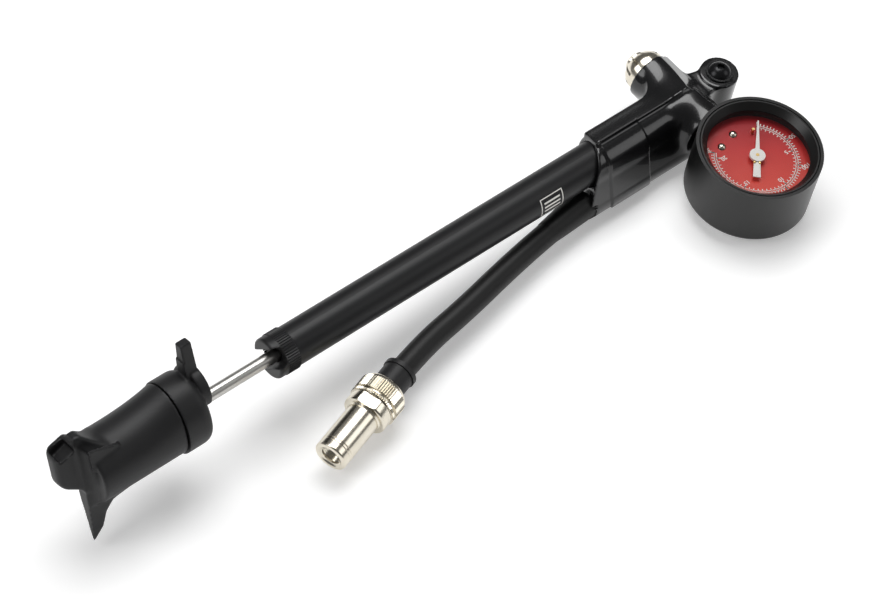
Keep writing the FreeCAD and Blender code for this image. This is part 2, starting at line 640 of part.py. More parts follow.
def movement_frame():
    """Two plates held apart by posts; the lower one sits on the socket block."""
    back = -(PINION_PITCH_R + SECTOR_PITCH_R) - 5.5
    front = 8.0
    plan = [(back, -3.0), (front, -7.0), (front, 7.0), (back, 3.0)]
    shapes = []
    for z in (PLATE_LOW, PLATE_TOP - PLATE_THICK):
        shapes.append(prism([GAUGE_C + V(x, y, z) for x, y in plan], AZ * PLATE_THICK))
    foot_y = CASE_IN_R - 2.0
    shapes.append(Part.makeBox(SOCKET_WIDTH, foot_y, PLATE_THICK,
                               GAUGE_C + V(-SOCKET_WIDTH / 2, 0, PLATE_LOW)))
    ear = [(-10.0, 0), (3.5, 0), (3.5, DIAL_SCREW_R + 2), (-10.0, DIAL_SCREW_R + 2)]
    shapes.append(prism([GAUGE_C + V(x, y, PLATE_TOP - PLATE_THICK) for x, y in ear], AZ * PLATE_THICK))
    for x, y in ((6.0, 5.2), (6.0, -5.2), (back + 1.7, 0)):
        post = GAUGE_C + V(x, y, PLATE_LOW)
        shapes.append(cyl(1.0, post, post + AZ * (PLATE_THICK * 2 + PLATE_SPAN)))
    frame = fuse(shapes)
    for centre in (GAUGE_C, SECTOR_C):
        frame = frame.cut(cyl(SPINDLE_R + RUN_GAP, centre, centre + AZ * DIAL_TOP))
    for point in dial_screw_points():
        frame = frame.cut(cyl(0.8, point, point + AZ * DIAL_TOP))
    return frame


def bourdon_tube():
    """Flat tube bent round the inside of the case, closed at its free end."""
    start = math.radians(82)
    sweep = 250
    point = V(math.cos(start), math.sin(start), 0)
    low = GAUGE_C + point * BOURDON_R - AZ * (BOURDON_HIGH / 2)
    outer = [low, low + point * BOURDON_WIDE, low + point * BOURDON_WIDE + AZ * BOURDON_HIGH,
             low + AZ * BOURDON_HIGH]
    tube = Part.Face(wire(outer)).revolve(GAUGE_C, AZ * -1, sweep)
    wall = 0.3
    low_in = low + point * wall + AZ * wall
    wide = BOURDON_WIDE - 2 * wall
    high = BOURDON_HIGH - 2 * wall
    inner = [low_in, low_in + point * wide, low_in + point * wide + AZ * high, low_in + AZ * high]
    return tube.cut(Part.Face(wire(inner)).revolve(GAUGE_C, AZ * -1, sweep - 3))


def gauge_stem():
    """Threaded shank in the cross tube, with the socket block inside the case."""
    start = V(SEAT_TO_CROSS, -CROSS_BORE_R - 1, 0)
    inside = GAUGE_C + AY * (CASE_IN_R - 1.5)
    shank = cyl(STEM_R, start, inside)
    block = Part.makeBox(SOCKET_WIDTH, SOCKET_DEEP, SOCKET_DROP + PLATE_LOW,
                         inside + V(-SOCKET_WIDTH / 2, -SOCKET_DEEP, -SOCKET_DROP))
    trim = Part.makeBox(STEM_R * 3, SOCKET_DEEP + 1.5, STEM_R,
                        inside + V(-STEM_R * 1.5, -SOCKET_DEEP, PLATE_LOW))
    stem = fuse([shank, block]).cut(trim)
    stem = stem.cut(cyl(STEM_BORE_R, start + AY, inside - AY * (SOCKET_DEEP / 2)))
    return stem.cut(bourdon_slot())


def bourdon_slot():
    """Room in the socket block for the tube's fixed end."""
    gap = SEAT_GAP
    slot = ring(BOURDON_R + BOURDON_WIDE + gap, BOURDON_R - gap,
                GAUGE_C - AZ * (BOURDON_HIGH / 2 + gap), GAUGE_C + AZ * (BOURDON_HIGH / 2 + gap))
    return slot.common(Part.makeBox(SOCKET_WIDTH, CASE_IN_R, BOURDON_HIGH * 2,
                                    GAUGE_C + V(0, 0, -BOURDON_HIGH)))


# Bleed valve
def bleed_body():
    face = V(SEAT_TO_CROSS, BLEED_Y + BLEED_LENGTH, 0)
    seat = V(SEAT_TO_CROSS, BLEED_Y, 0)
    head = turned([(0, 0), (0, BLEED_R), (BLEED_LENGTH * 0.5, BLEED_R), (BLEED_LENGTH * 0.85, BLEED_R - 0.9),
                   (BLEED_LENGTH, BLEED_R - 2.4), (BLEED_LENGTH, 0)], seat, AY)
    shank = cyl(CROSS_BORE_R - SEAT_GAP, seat - AY * BLEED_SHANK, seat)
    body = fuse([head, shank])
    body = body.cut(cyl(BUTTON_R + RUN_GAP, face - AY * (BUTTON_TRAVEL + SPRING_ROOM), face + AY))
    return body.cut(cyl(BUTTON_STEM_R + RUN_GAP, seat - AY * (BLEED_SHANK + 1), face))


def bleed_button():
    face = V(SEAT_TO_CROSS, BLEED_Y + BLEED_LENGTH, 0)
    shank_end = V(SEAT_TO_CROSS, BLEED_Y - BLEED_SHANK, 0)
    head = turned([(-BUTTON_SKIRT, 0), (-BUTTON_SKIRT, BUTTON_R), (BUTTON_PROUD - 1.0, BUTTON_R),
                   (BUTTON_PROUD - 0.2, BUTTON_R - 0.8), (BUTTON_PROUD, BUTTON_R - 2.0),
                   (BUTTON_PROUD, 0)], face, AY)
    stem = cyl(BUTTON_STEM_R, shank_end - AY * (BLEED_SEAL_ROOM + 0.5), face)
    disc = cyl(CROSS_BORE_R - DISC_CLEAR, shank_end - AY * (BLEED_SEAL_ROOM + 1.2), shank_end - AY * BLEED_SEAL_ROOM)
    return fuse([head, stem, disc])


def bleed_seal():
    shank_end = V(SEAT_TO_CROSS, BLEED_Y - BLEED_SHANK, 0)
    return ring(CROSS_BORE_R - DISC_CLEAR, BUTTON_STEM_R + SEAT_GAP, shank_end - AY * (BLEED_SEAL_ROOM - SEAT_GAP),
                shank_end - AY * SEAT_GAP)


def bleed_spring():
    face = V(SEAT_TO_CROSS, BLEED_Y + BLEED_LENGTH, 0)
    floor = face - AY * (BUTTON_TRAVEL + SPRING_ROOM)
    return spring(BLEED_SPRING_R, floor + AY * SEAT_GAP, face - AY * (BUTTON_SKIRT + SEAT_GAP), BLEED_SPRING_TURNS)


# Hose and coupler
def rounded_path(points):
    """Straight runs joined by tangent arcs; returns the wire and its length."""
    edges = []
    here = points[0]
    for i in range(1, len(points) - 1):
        back = points[i - 1] - points[i]
        ahead = points[i + 1] - points[i]
        half = (math.pi - back.getAngle(ahead)) / 2
        trim = 0.45 * min(back.Length, ahead.Length)
        radius = trim / math.tan(half)
        print("hose bend", i, "radius", round(radius, 1))
        back.normalize()
        ahead.normalize()
        enter = points[i] + back * trim
        leave = points[i] + ahead * trim
        to_centre = (back + ahead).normalize()
        centre = points[i] + to_centre * (radius / math.cos(half))
        middle = centre - to_centre * radius
        edges.append(Part.LineSegment(here, enter).toShape())
        edges.append(Part.Arc(enter, middle, leave).toShape())
        here = leave
    edges.append(Part.LineSegment(here, points[-1]).toShape())
    path = Part.Wire(edges)
    return path, path.Length


def hose():
    path, length = rounded_path(HOSE_ROUTE)
    section = Part.Wire(Part.makeCircle(HOSE_R, HOSE_START, SOCKET_DIR))
    tube = path.makePipeShell([section], True, True)
    print("hose length", round(length, 1), "volume ratio", round(tube.Volume / (math.pi * HOSE_R ** 2 * length), 4))
    return tube


def hose_boot():
    tip = HOSE_START - SOCKET_DIR * BOOT_LENGTH
    boot = cone(BOOT_R, BOOT_TIP_R, HOSE_START, tip)
    return boot.cut(cyl(HOSE_R + SEAT_GAP * 4, HOSE_START + SOCKET_DIR, tip - SOCKET_DIR))


def hose_barb():
    """Tail piece pressed into the casting, where the hose's bore is fed."""
    start = HOSE_START + SOCKET_DIR * SEAT_GAP
    return ring(BARB_R, 1.2, start, HOSE_START + SOCKET_DIR * (BARB_LENGTH - SEAT_GAP))


def along_coupler(distance):
    return HOSE_END + COUPLER_DIR * distance


def nut_start():
    return FERRULE_NOSE + FREE_GAP


def step_start():
    return nut_start() + NUT_LENGTH


def nozzle_start():
    return step_start() + STEP_LENGTH


def mouth_end():
    return nozzle_start() + NOZZLE_LENGTH


def coupler_ferrule():
    sleeve = cyl(FERRULE_R, along_coupler(-FERRULE_LENGTH), along_coupler(FERRULE_NOSE))
    lip_end = FERRULE_LIP_LENGTH - FERRULE_LENGTH
    lip = cyl(FERRULE_R + FERRULE_LIP, along_coupler(-FERRULE_LENGTH), along_coupler(lip_end))
    swivel_end = nut_start() + NUT_BACK + FREE_GAP
    swivel = cyl(SWIVEL_R, along_coupler(0), along_coupler(swivel_end))
    flange = cyl(SWIVEL_R + SWIVEL_LIP, along_coupler(swivel_end), along_coupler(swivel_end + SWIVEL_LIP))
    shape = fuse([sleeve, lip, swivel, flange])
    shape = shape.cut(cyl(HOSE_R, along_coupler(-FERRULE_LENGTH - 1), along_coupler(0)))
    return shape.cut(cyl(1.2, along_coupler(-1), along_coupler(swivel_end + SWIVEL_LIP + 1)))


def coupler_nut():
    low = nut_start()
    outline = [(low, SWIVEL_R + RUN_GAP), (low, NUT_R - 1.6), (low + 1.6, NUT_R), (low + NUT_LENGTH - 0.4, NUT_R),
               (low + NUT_LENGTH, NUT_R - 0.4), (low + NUT_LENGTH, NUT_BORE_R),
               (low + NUT_BACK, NUT_BORE_R), (low + NUT_BACK, SWIVEL_R + RUN_GAP)]
    return turned(outline, HOSE_END, COUPLER_DIR)


def coupler_nozzle():
    low = step_start()
    front = nozzle_start()
    end = mouth_end()
    thread_top = end - (MOUTH_R - THREAD_R) - THREAD_LENGTH
    outline = [(low - NOZZLE_SPIGOT, 1.5), (low - NOZZLE_SPIGOT, NUT_BORE_R - SEAT_GAP),
               (low, NUT_BORE_R - SEAT_GAP), (low, STEP_R), (front - 0.5, STEP_R), (front, STEP_R - 0.5),
               (front, NOZZLE_R), (end - 0.8, NOZZLE_R), (end, NOZZLE_R - 0.8), (end, MOUTH_R),
               (end - (MOUTH_R - THREAD_R), THREAD_R), (thread_top, THREAD_R), (thread_top, SEAL_POCKET_R),
               (thread_top - VALVE_SEAL_LENGTH, SEAL_POCKET_R),
               (thread_top - VALVE_SEAL_LENGTH, 1.5)]
    return turned(outline, HOSE_END, COUPLER_DIR)


def valve_seal():
    top = mouth_end() - (MOUTH_R - THREAD_R) - THREAD_LENGTH
    return ring(SEAL_POCKET_R - SEAT_GAP, 1.3, along_coupler(top - VALVE_SEAL_LENGTH), along_coupler(top))


def push_pin():
    """Pin that opens the tyre or shock valve, on a spider in the nozzle's bore."""
    top = mouth_end() - (MOUTH_R - THREAD_R) - THREAD_LENGTH
    low = step_start() - NOZZLE_SPIGOT + 1.0
    pin = cyl(PUSH_PIN_R, along_coupler(low), along_coupler(top - SEAT_GAP))
    spider = ring(1.5 - SEAT_GAP / 2, 0.4, along_coupler(low), along_coupler(low + 2.0))
    return fuse([pin, spider])


PIECES = {
    "barrel_tube": barrel_tube, "barrel_cap": barrel_cap, "rod_bushing": rod_bushing,
    "rod_wiper": rod_wiper, "piston_rod": piston_rod, "piston_head": piston_head,
    "piston_seal": piston_seal, "grip": grip, "lock_collar": lock_collar,
    "collar_clip": collar_clip, "rod_nut": rod_nut, "head_casting": head_casting,
    "tube_seal": tube_seal, "valve_seat": valve_seat, "valve_ball": valve_ball,
    "valve_spring": valve_spring, "lug_screw": lug_screw, "lug_washer": lug_washer,
    "gauge_case": gauge_case, "gauge_bezel": gauge_bezel, "gauge_lens": gauge_lens,
    "lens_spacer": lens_spacer, "gauge_dial": gauge_dial, "dial_screws": dial_screws,
    "needle_stop": needle_stop, "gauge_needle": gauge_needle, "pinion": pinion,
    "sector_gear": sector_gear, "movement_frame": movement_frame, "bourdon_tube": bourdon_tube,
    "gauge_stem": gauge_stem, "bleed_body": bleed_body, "bleed_button": bleed_button,
    "bleed_seal": bleed_seal, "bleed_spring": bleed_spring, "hose": hose,
    "hose_boot": hose_boot, "hose_barb": hose_barb, "coupler_ferrule": coupler_ferrule,
    "coupler_nut": coupler_nut, "coupler_nozzle": coupler_nozzle, "valve_seal": valve_seal,
    "push_pin": push_pin,
}

os.makedirs("parts", exist_ok=True)
for name, make in PIECES.items():
    shape = make()
    if not shape.isValid() or not shape.Solids:
        raise ValueError(name + " is not a valid solid")
    print(name, len(shape.Solids), "solid", round(shape.Volume, 1), "mm3")
    shape.exportStep("parts/" + name + ".step")
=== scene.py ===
# %% [markdown]
# # A hand-held suspension pump
# The pump is a slim black barrel with a plunger handle at one end and a cast head at the other. The
# head carries a dial gauge, a bleed knob and a short rubber hose with a nickel valve coupler. The
# solid model gives every place and size. This lesson keeps the turned and machined parts as they
# are, and makes new meshes for the castings, mouldings, knurls, print and hose.

import json
import math

import bmesh
import bpy
import numpy as np
from mathutils import Matrix, Vector


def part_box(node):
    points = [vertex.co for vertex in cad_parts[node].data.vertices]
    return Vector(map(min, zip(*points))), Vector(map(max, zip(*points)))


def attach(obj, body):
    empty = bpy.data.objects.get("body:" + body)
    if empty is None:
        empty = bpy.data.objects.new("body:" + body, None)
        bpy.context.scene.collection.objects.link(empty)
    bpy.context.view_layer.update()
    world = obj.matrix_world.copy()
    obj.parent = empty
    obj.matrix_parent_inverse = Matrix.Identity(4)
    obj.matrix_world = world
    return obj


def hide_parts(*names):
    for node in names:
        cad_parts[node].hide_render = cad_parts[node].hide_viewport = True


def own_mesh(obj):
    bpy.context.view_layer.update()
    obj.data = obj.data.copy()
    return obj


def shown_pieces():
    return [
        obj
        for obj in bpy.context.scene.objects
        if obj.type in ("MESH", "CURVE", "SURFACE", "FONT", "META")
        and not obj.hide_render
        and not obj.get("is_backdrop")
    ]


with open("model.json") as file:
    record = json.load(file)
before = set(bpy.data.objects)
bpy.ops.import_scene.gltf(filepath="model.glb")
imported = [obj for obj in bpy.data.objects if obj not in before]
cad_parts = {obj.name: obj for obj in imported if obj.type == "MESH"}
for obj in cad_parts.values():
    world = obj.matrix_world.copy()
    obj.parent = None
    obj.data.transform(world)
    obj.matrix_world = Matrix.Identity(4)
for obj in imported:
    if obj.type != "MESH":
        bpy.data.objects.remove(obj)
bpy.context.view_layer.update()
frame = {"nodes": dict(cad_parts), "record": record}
MM = 0.001
print("pieces in the frame:", len(frame["nodes"]))

# %% [markdown]
# ## Camera
# A long lens a metre away keeps the barrel nearly parallel. The three directions are the view's
# right, its up, and the way back to the lens. Writing them as the columns of a matrix places the
# camera in one step, and leaves no angle to guess.

# %% The camera
RIGHT = Vector((0.761, -0.638, 0.120)).normalized()
BACK = Vector((-0.445, -0.379, 0.811))
BACK = (BACK - RIGHT * BACK.dot(RIGHT)).normalized()
UP = BACK.cross(RIGHT)
LENS_PLACE = Vector((-0.4643, -0.3984, 0.8207))
SENSOR = 36.0
FOCAL = 113.43

lens = bpy.data.cameras.new("studio_camera")
lens.sensor_width = SENSOR
lens.lens = FOCAL
lens.clip_start = 0.01
lens.clip_end = 20
camera = bpy.data.objects.new("studio_camera", lens)
camera.matrix_world = Matrix.Translation(LENS_PLACE) @ Matrix((RIGHT, UP, BACK)).transposed().to_4x4()
bpy.context.scene.collection.objects.link(camera)
bpy.context.scene.camera = camera
print("camera height over the barrel:", round(LENS_PLACE.z, 3))

# %% [markdown]
# ## Finishes
# Each finish is a small node tree. Sums on sockets are written as Python sums: the Signal class
# turns +, - and * into Math nodes. Every other node comes from Finish.node, which sets the node's
# options first, then its sockets. Grain is given in millimetres, because a pattern at the wrong
# scale is what makes a model look like a toy.


# %% Shader helpers
class Signal:
    """A socket's value, usable in Python sums."""

    def __init__(self, finish, socket):
        self.finish, self.socket = finish, socket

    def combined(self, operation, first, second):
        return self.finish.node("ShaderNodeMath", {0: first, 1: second}, operation=operation)

    def __add__(self, other):
        return self.combined("ADD", self, other)

    def __sub__(self, other):
        return self.combined("SUBTRACT", self, other)

    def __mul__(self, other):
        return self.combined("MULTIPLY", self, other)

    __radd__ = __add__
    __rmul__ = __mul__


class Finish:
    """One material: a Principled shader and the nodes that feed it."""

    def __init__(self, name, **values):
        self.material = bpy.data.materials.new(name)
        self.material.use_nodes = True
        self.tree = self.material.node_tree
        self.shader = self.tree.nodes["Principled BSDF"]
        self.place = self.node("ShaderNodeTexCoord", out="Object")
        self.give(**values)

    def feed(self, socket, value):
        if isinstance(value, Signal):
            self.tree.links.new(value.socket, socket)
        else:
            socket.default_value = value

    def node(self, kind, inputs=(), out=0, stops=(), **settings):
        made = self.tree.nodes.new(kind)
        for key, value in settings.items():
            setattr(made, key, value)
        if stops:
            ramp = made.color_ramp.elements
            while len(ramp) < len(stops):
                ramp.new(0.5)
            for element, (at, colour) in zip(ramp, stops):
                element.position, element.color = at, (*colour, 1)
        for key, value in dict(inputs).items():
            self.feed(made.inputs[key], value)
        return Signal(self, made.outputs[out])

    def give(self, **values):
        for key, value in values.items():
            socket = self.shader.inputs[key.replace("_", " ").title().replace("Ior", "IOR")]
            self.feed(socket, (*value, 1) if isinstance(value, tuple) else value)

    def noise(self, size_mm, detail=3.0, stretch=(1, 1, 1)):
        """Noise from 0 to 1 whose lumps are about size_mm across."""
        where = self.node("ShaderNodeMapping", {"Vector": self.place, "Scale": stretch})
        return self.node("ShaderNodeTexNoise",
                         {"Vector": where, "Scale": 1 / (size_mm * MM), "Detail": detail})

    def grain(self, height, depth_mm):
        bump = self.node("ShaderNodeBump", {"Height": height, "Distance": depth_mm * MM, "Strength": 1.0})
        self.feed(self.shader.inputs["Normal"], bump)

    def blend(self, factor, low, high):
        return self.node("ShaderNodeMix", {0: factor, 6: (*low, 1), 7: (*high, 1)}, out=2, data_type="RGBA")


# %% [markdown]
# ### Black finishes
# Five blacks sit side by side on this pump, and they differ only in gloss and grain: satin anodised
# tube, glossy enamel on the casting, satin paint on the gauge, moulded plastic, and rubber. Each
# has its own roughness and its own grain size, so the light tells them apart.

# %% Blacks
finishes = {}

tube_black = Finish("black_anodised")
cloud = tube_black.noise(14.0)
fine = tube_black.noise(0.22, 2.0)
tube_black.give(base_color=tube_black.blend(cloud, (0.011, 0.011, 0.012), (0.019, 0.019, 0.020)),
                roughness=0.36 + fine * 0.10)
tube_black.grain(fine, 0.010)
finishes["black_anodised"] = tube_black

enamel = Finish("black_gloss_paint", coat_weight=0.7, coat_roughness=0.06)
peel = enamel.noise(2.6, 1.0)
enamel.give(base_color=enamel.blend(enamel.noise(9.0), (0.006, 0.006, 0.007), (0.011, 0.011, 0.012)),
            roughness=0.20 + enamel.noise(1.1) * 0.10)
enamel.grain(peel, 0.016)
finishes["black_gloss_paint"] = enamel

case_black = Finish("black_matte_paint", coat_weight=0.15, coat_roughness=0.3)
case_fine = case_black.noise(0.3, 2.0)
case_black.give(base_color=case_black.blend(case_black.noise(11.0),
                                            (0.010, 0.010, 0.010), (0.017, 0.017, 0.017)),
                roughness=0.30 + case_fine * 0.08)
case_black.grain(case_fine, 0.006)
finishes["black_matte_paint"] = case_black

moulding = Finish("black_plastic")
pebble = moulding.noise(0.35, 3.0)
moulding.give(base_color=moulding.blend(moulding.noise(16.0), (0.016, 0.016, 0.017), (0.024, 0.024, 0.025)),
              roughness=0.40 + pebble * 0.14)
moulding.grain(pebble, 0.030)
finishes["black_plastic"] = moulding

rubber = Finish("black_rubber")
matt = rubber.noise(0.5, 3.0)
rubber.give(base_color=rubber.blend(rubber.noise(12.0), (0.009, 0.009, 0.009), (0.017, 0.017, 0.017)),
            roughness=0.42 + matt * 0.14)
rubber.grain(matt, 0.020)
finishes["black_rubber"] = rubber

oxide = Finish("black_steel", metallic=0.6)
oxide.give(base_color=(0.030, 0.030, 0.032), roughness=0.20 + oxide.noise(0.6) * 0.12)
oxide.grain(oxide.noise(0.4), 0.004)
finishes["black_steel"] = oxide
print("black finishes:", len(finishes))

# %% [markdown]
# ### Metals, print and glass
# The nickel is warm, so its colour leans to cream. The rod is ground in a lathe, which leaves fine
# marks round it: noise squeezed along the rod does that. The dial is printed red, and painted shade
# makes it deeper towards the stem. The window is a thin clear sheet, so a low alpha serves better
# than true refraction, which would darken the dial under it.

# %% Metals, print and glass
STEEL_LOW, STEEL_HIGH = (0.50, 0.49, 0.47), (0.68, 0.67, 0.64)

nickel = Finish("nickel", metallic=1.0)
tarnish = nickel.noise(5.0)
turning = nickel.noise(0.25, 2.0)
nickel.give(base_color=nickel.blend(tarnish, (0.66, 0.61, 0.51), (0.82, 0.78, 0.69)),
            roughness=0.17 + tarnish * 0.10)
nickel.grain(turning, 0.003)
finishes["nickel"] = nickel

ground = Finish("bright_steel", metallic=1.0)
marks = ground.noise(0.9, 2.0, (8, 0.3, 0.3))
ground.give(base_color=ground.blend(marks, STEEL_LOW, STEEL_HIGH), roughness=0.26 + marks * 0.14)
ground.grain(marks, 0.003)
finishes["bright_steel"] = ground

drawn = Finish("spring_steel", metallic=1.0)
drawn.give(base_color=drawn.blend(drawn.noise(0.8), (0.34, 0.33, 0.32), (0.50, 0.49, 0.47)), roughness=0.32)
finishes["spring_steel"] = drawn

brass = Finish("brass", metallic=1.0)
brass_marks = brass.noise(0.7)
brass.give(base_color=brass.blend(brass.noise(4.0), (0.62, 0.43, 0.17), (0.80, 0.61, 0.30)),
           roughness=0.24 + brass_marks * 0.12)
finishes["brass"] = brass

white = Finish("white_paint")
white_cloud = white.noise(3.0)
white.give(base_color=white.blend(white_cloud, (0.80, 0.78, 0.73), (0.92, 0.91, 0.88)), roughness=0.34)
finishes["white_paint"] = white

window = Finish("lens", alpha=0.04, roughness=0.03, ior=1.25)
window.give(base_color=window.blend(window.noise(20.0), (0.10, 0.10, 0.10), (0.14, 0.14, 0.14)))
window.material.surface_render_method = "BLENDED"
finishes["lens"] = window

case_low, case_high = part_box("gauge_case")
GAUGE_CENTRE = Vector(((case_low.x + case_high.x) / 2, (case_low.y + case_high.y) / 2, 0.0))
dial_red = Finish("red_dial", coat_weight=0.25, coat_roughness=0.2)
along_x = dial_red.node("ShaderNodeSeparateXYZ", {0: dial_red.place})
along_y = dial_red.node("ShaderNodeSeparateXYZ", {0: dial_red.place}, out=1)
across = (along_x - GAUGE_CENTRE.x) * 0.55 + (along_y - GAUGE_CENTRE.y) * 0.83
# Painted shade: the red darkens steadily across the dial towards the stem, standing in for shade.
painted_shade_fade = across * 22.0 + 0.5
speck = dial_red.noise(0.4) * 0.06
red_and_painted_shade = dial_red.node("ShaderNodeValToRGB", {0: painted_shade_fade + speck},
                     stops=((0.15, (0.76, 0.085, 0.055)), (0.62, (0.58, 0.030, 0.028)),
                            (0.92, (0.36, 0.004, 0.012))))
dial_red.give(base_color=red_and_painted_shade, roughness=0.38 + speck)
finishes["red_dial"] = dial_red

for row in frame["record"]["subparts"]:
    solid = frame["nodes"][row["node"]]
    look = finishes[row["material_slot"]].material
    if not solid.material_slots:
        solid.data.materials.append(look)
    for place in solid.material_slots:
        place.material = look
print("finishes:", len(finishes))


# %% [markdown]
# ## Making a piece
# Every new piece ends the same way: its normals face out, its edges are sharp or smooth by angle,
# it gets its finish, it rides on a body of the frame, and it hides the solid that it stands for.

# %% The last steps of every piece
EDGE_ANGLE = math.radians(32)


def settle(name, mesh, body, slot, replaced=(), smooth=True, edge=EDGE_ANGLE):
    """Turns a mesh, already in metres and in place, into a finished piece."""
    shape = bmesh.new()
    shape.from_mesh(mesh)
    bmesh.ops.remove_doubles(shape, verts=shape.verts, dist=1e-7)
    bmesh.ops.recalc_face_normals(shape, faces=shape.faces)
    shape.to_mesh(mesh)
    shape.free()
    mesh.materials.clear()
    mesh.materials.append(finishes[slot].material)
    mesh.polygons.foreach_set("material_index", [0] * len(mesh.polygons))
    if smooth:
        mesh.shade_smooth()
        mesh.set_sharp_from_angle(angle=edge)
    piece = bpy.data.objects.new(name, mesh)
    bpy.context.scene.collection.objects.link(piece)
    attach(piece, body)
    if replaced:
        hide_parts(*replaced)
    print(name, "faces:", len(mesh.polygons))
    return piece


def mesh_of(name, points_mm, faces):
    """Mesh from points in millimetres."""
    mesh = bpy.data.meshes.new(name)
    mesh.from_pydata([Vector(p) * MM for p in points_mm], [], faces)
    return mesh


def joined(name, meshes):
    """One mesh from several."""
    shape = bmesh.new()
    for mesh in meshes:
        shape.from_mesh(mesh)
    whole = bpy.data.meshes.new(name)
    shape.to_mesh(whole)
    shape.free()
    return whole


def frame_along(axis, origin):
    """Matrix that takes +Z to axis and the origin to origin (in metres)."""
    return Matrix.Translation(origin) @ axis.to_track_quat("Z", "X").to_matrix().to_4x4()


def lathe(name, outline, origin, axis, steps=96, ripple=None):
    """Turned part: outline is a closed loop of (distance along the axis, radius), in millimetres."""
    points, faces, rings = [], [], []
    for along, radius in outline:
        if radius == 0:
            rings.append([len(points)] * steps)
            points.append((0, 0, along))
            continue
        rings.append(list(range(len(points), len(points) + steps)))
        for i in range(steps):
            turn = 2 * math.pi * i / steps
            r = radius - (ripple(turn, along, radius) if ripple else 0)
            points.append((r * math.cos(turn), r * math.sin(turn), along))
    for low, high in zip(rings, rings[1:] + rings[:1]):
        for i in range(steps):
            j = (i + 1) % steps
            corners = [low[i], low[j], high[j], high[i]]
            corners = [c for k, c in enumerate(corners) if c not in corners[:k]]
            if len(corners) > 2:
                faces.append(corners)
    mesh = mesh_of(name, points, faces)
    mesh.transform(frame_along(axis, origin))
    return mesh


# %% [markdown]
# ## Hose
# The hose leaves the head under the barrel, lies along the table in one easy curve, and ends in the
# coupler's ferrule. A NURBS curve takes its bends from a few control points, as real rubber does.
# A round bevel gives it its thickness.

# %% The hose's line
HOSE_R = 4.75
HOSE_ROUTE = [Vector(p) for p in ((70.5, -7.4, -12.9), (48.0, -10.0, -12.9), (24.0, -13.8, -13.1),
                                  (1.0, -18.3, -13.5), (-24.8, -22.0, -13.7), (-43.8, -27.7, -14.1))]
COUPLER_AXIS = (HOSE_ROUTE[-1] - HOSE_ROUTE[-2]).normalized()
HOSE_END = HOSE_ROUTE[-1] * MM

line = bpy.data.curves.new("hose_line", "CURVE")
line.dimensions = "3D"
spline = line.splines.new("NURBS")
spline.points.add(len(HOSE_ROUTE) - 1)
for control, point in zip(spline.points, HOSE_ROUTE):
    control.co = (*(point * MM), 1)
spline.order_u = 3
spline.use_endpoint_u = True
spline.resolution_u = 24
line.bevel_depth = HOSE_R * MM
line.bevel_resolution = 10
line.use_fill_caps = True
line.materials.append(finishes["black_rubber"].material)
hose = bpy.data.objects.new("rubber_hose", line)
bpy.context.scene.collection.objects.link(hose)
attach(hose, "pump")
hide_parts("hose")
print("control points:", len(HOSE_ROUTE))

# %% [markdown]
# ## Rings of ridges and ticks
# Knurls on the cap and the nut, and the ticks on the dial, are all one small shape repeated round a
# circle. Geometry Nodes place them from the point's number, so one tree with a few named inputs
# makes every one of them. A ridge is a four-sided bar with an edge outwards, and a tick is a box.


# %% The ring tree
def ring_tree(name, shape):
    tree = bpy.data.node_groups.new(name, "GeometryNodeTree")
    sockets = (("Count", "NodeSocketInt"), ("Ring Radius", "NodeSocketFloat"), ("Start", "NodeSocketFloat"),
               ("Step", "NodeSocketFloat"), ("Size", "NodeSocketVector"), ("Finish", "NodeSocketMaterial"))
    for label, kind in sockets:
        tree.interface.new_socket(label, in_out="INPUT", socket_type=kind)
    tree.interface.new_socket("Geometry", in_out="OUTPUT", socket_type="NodeSocketGeometry")

    def node(kind, inputs=(), **settings):
        made = tree.nodes.new(kind)
        for key, value in settings.items():
            setattr(made, key, value)
        for key, value in dict(inputs).items():
            if isinstance(value, bpy.types.NodeSocket):
                tree.links.new(value, made.inputs[key])
            else:
                made.inputs[key].default_value = value
        return made

    given = node("NodeGroupInput").outputs
    number = node("GeometryNodeInputIndex").outputs[0]
    turn = node("ShaderNodeMath", {0: number, 1: given["Step"], 2: given["Start"]},
                operation="MULTIPLY_ADD").outputs[0]
    place = []
    for part in ("COSINE", "SINE"):
        unit = node("ShaderNodeMath", {0: turn}, operation=part).outputs[0]
        place.append(node("ShaderNodeMath", {0: unit, 1: given["Ring Radius"]},
                          operation="MULTIPLY").outputs[0])
    where = node("ShaderNodeCombineXYZ", {0: place[0], 1: place[1]}).outputs[0]
    spin = node("ShaderNodeCombineXYZ", {2: turn}).outputs[0]
    points = node("GeometryNodePoints", {"Count": given["Count"], "Position": where}).outputs[0]
    if shape == "ridge":
        sizes = node("ShaderNodeSeparateXYZ", {0: given["Size"]}).outputs
        bar = node("GeometryNodeMeshCylinder",
                   {"Vertices": 4, "Radius": sizes[0], "Depth": sizes[2]}).outputs[0]
    else:
        bar = node("GeometryNodeMeshCube", {"Size": given["Size"]}).outputs[0]
    placed = node("GeometryNodeInstanceOnPoints",
                  {"Points": points, "Instance": bar, "Rotation": spin}).outputs[0]
    real = node("GeometryNodeRealizeInstances", {"Geometry": placed}).outputs[0]
    painted = node("GeometryNodeSetMaterial", {"Geometry": real, "Material": given["Finish"]}).outputs[0]
    node("NodeGroupOutput", {"Geometry": painted})
    return tree


RING_TREES = {shape: ring_tree("ring_of_" + shape + "s", shape) for shape in ("ridge", "tick")}


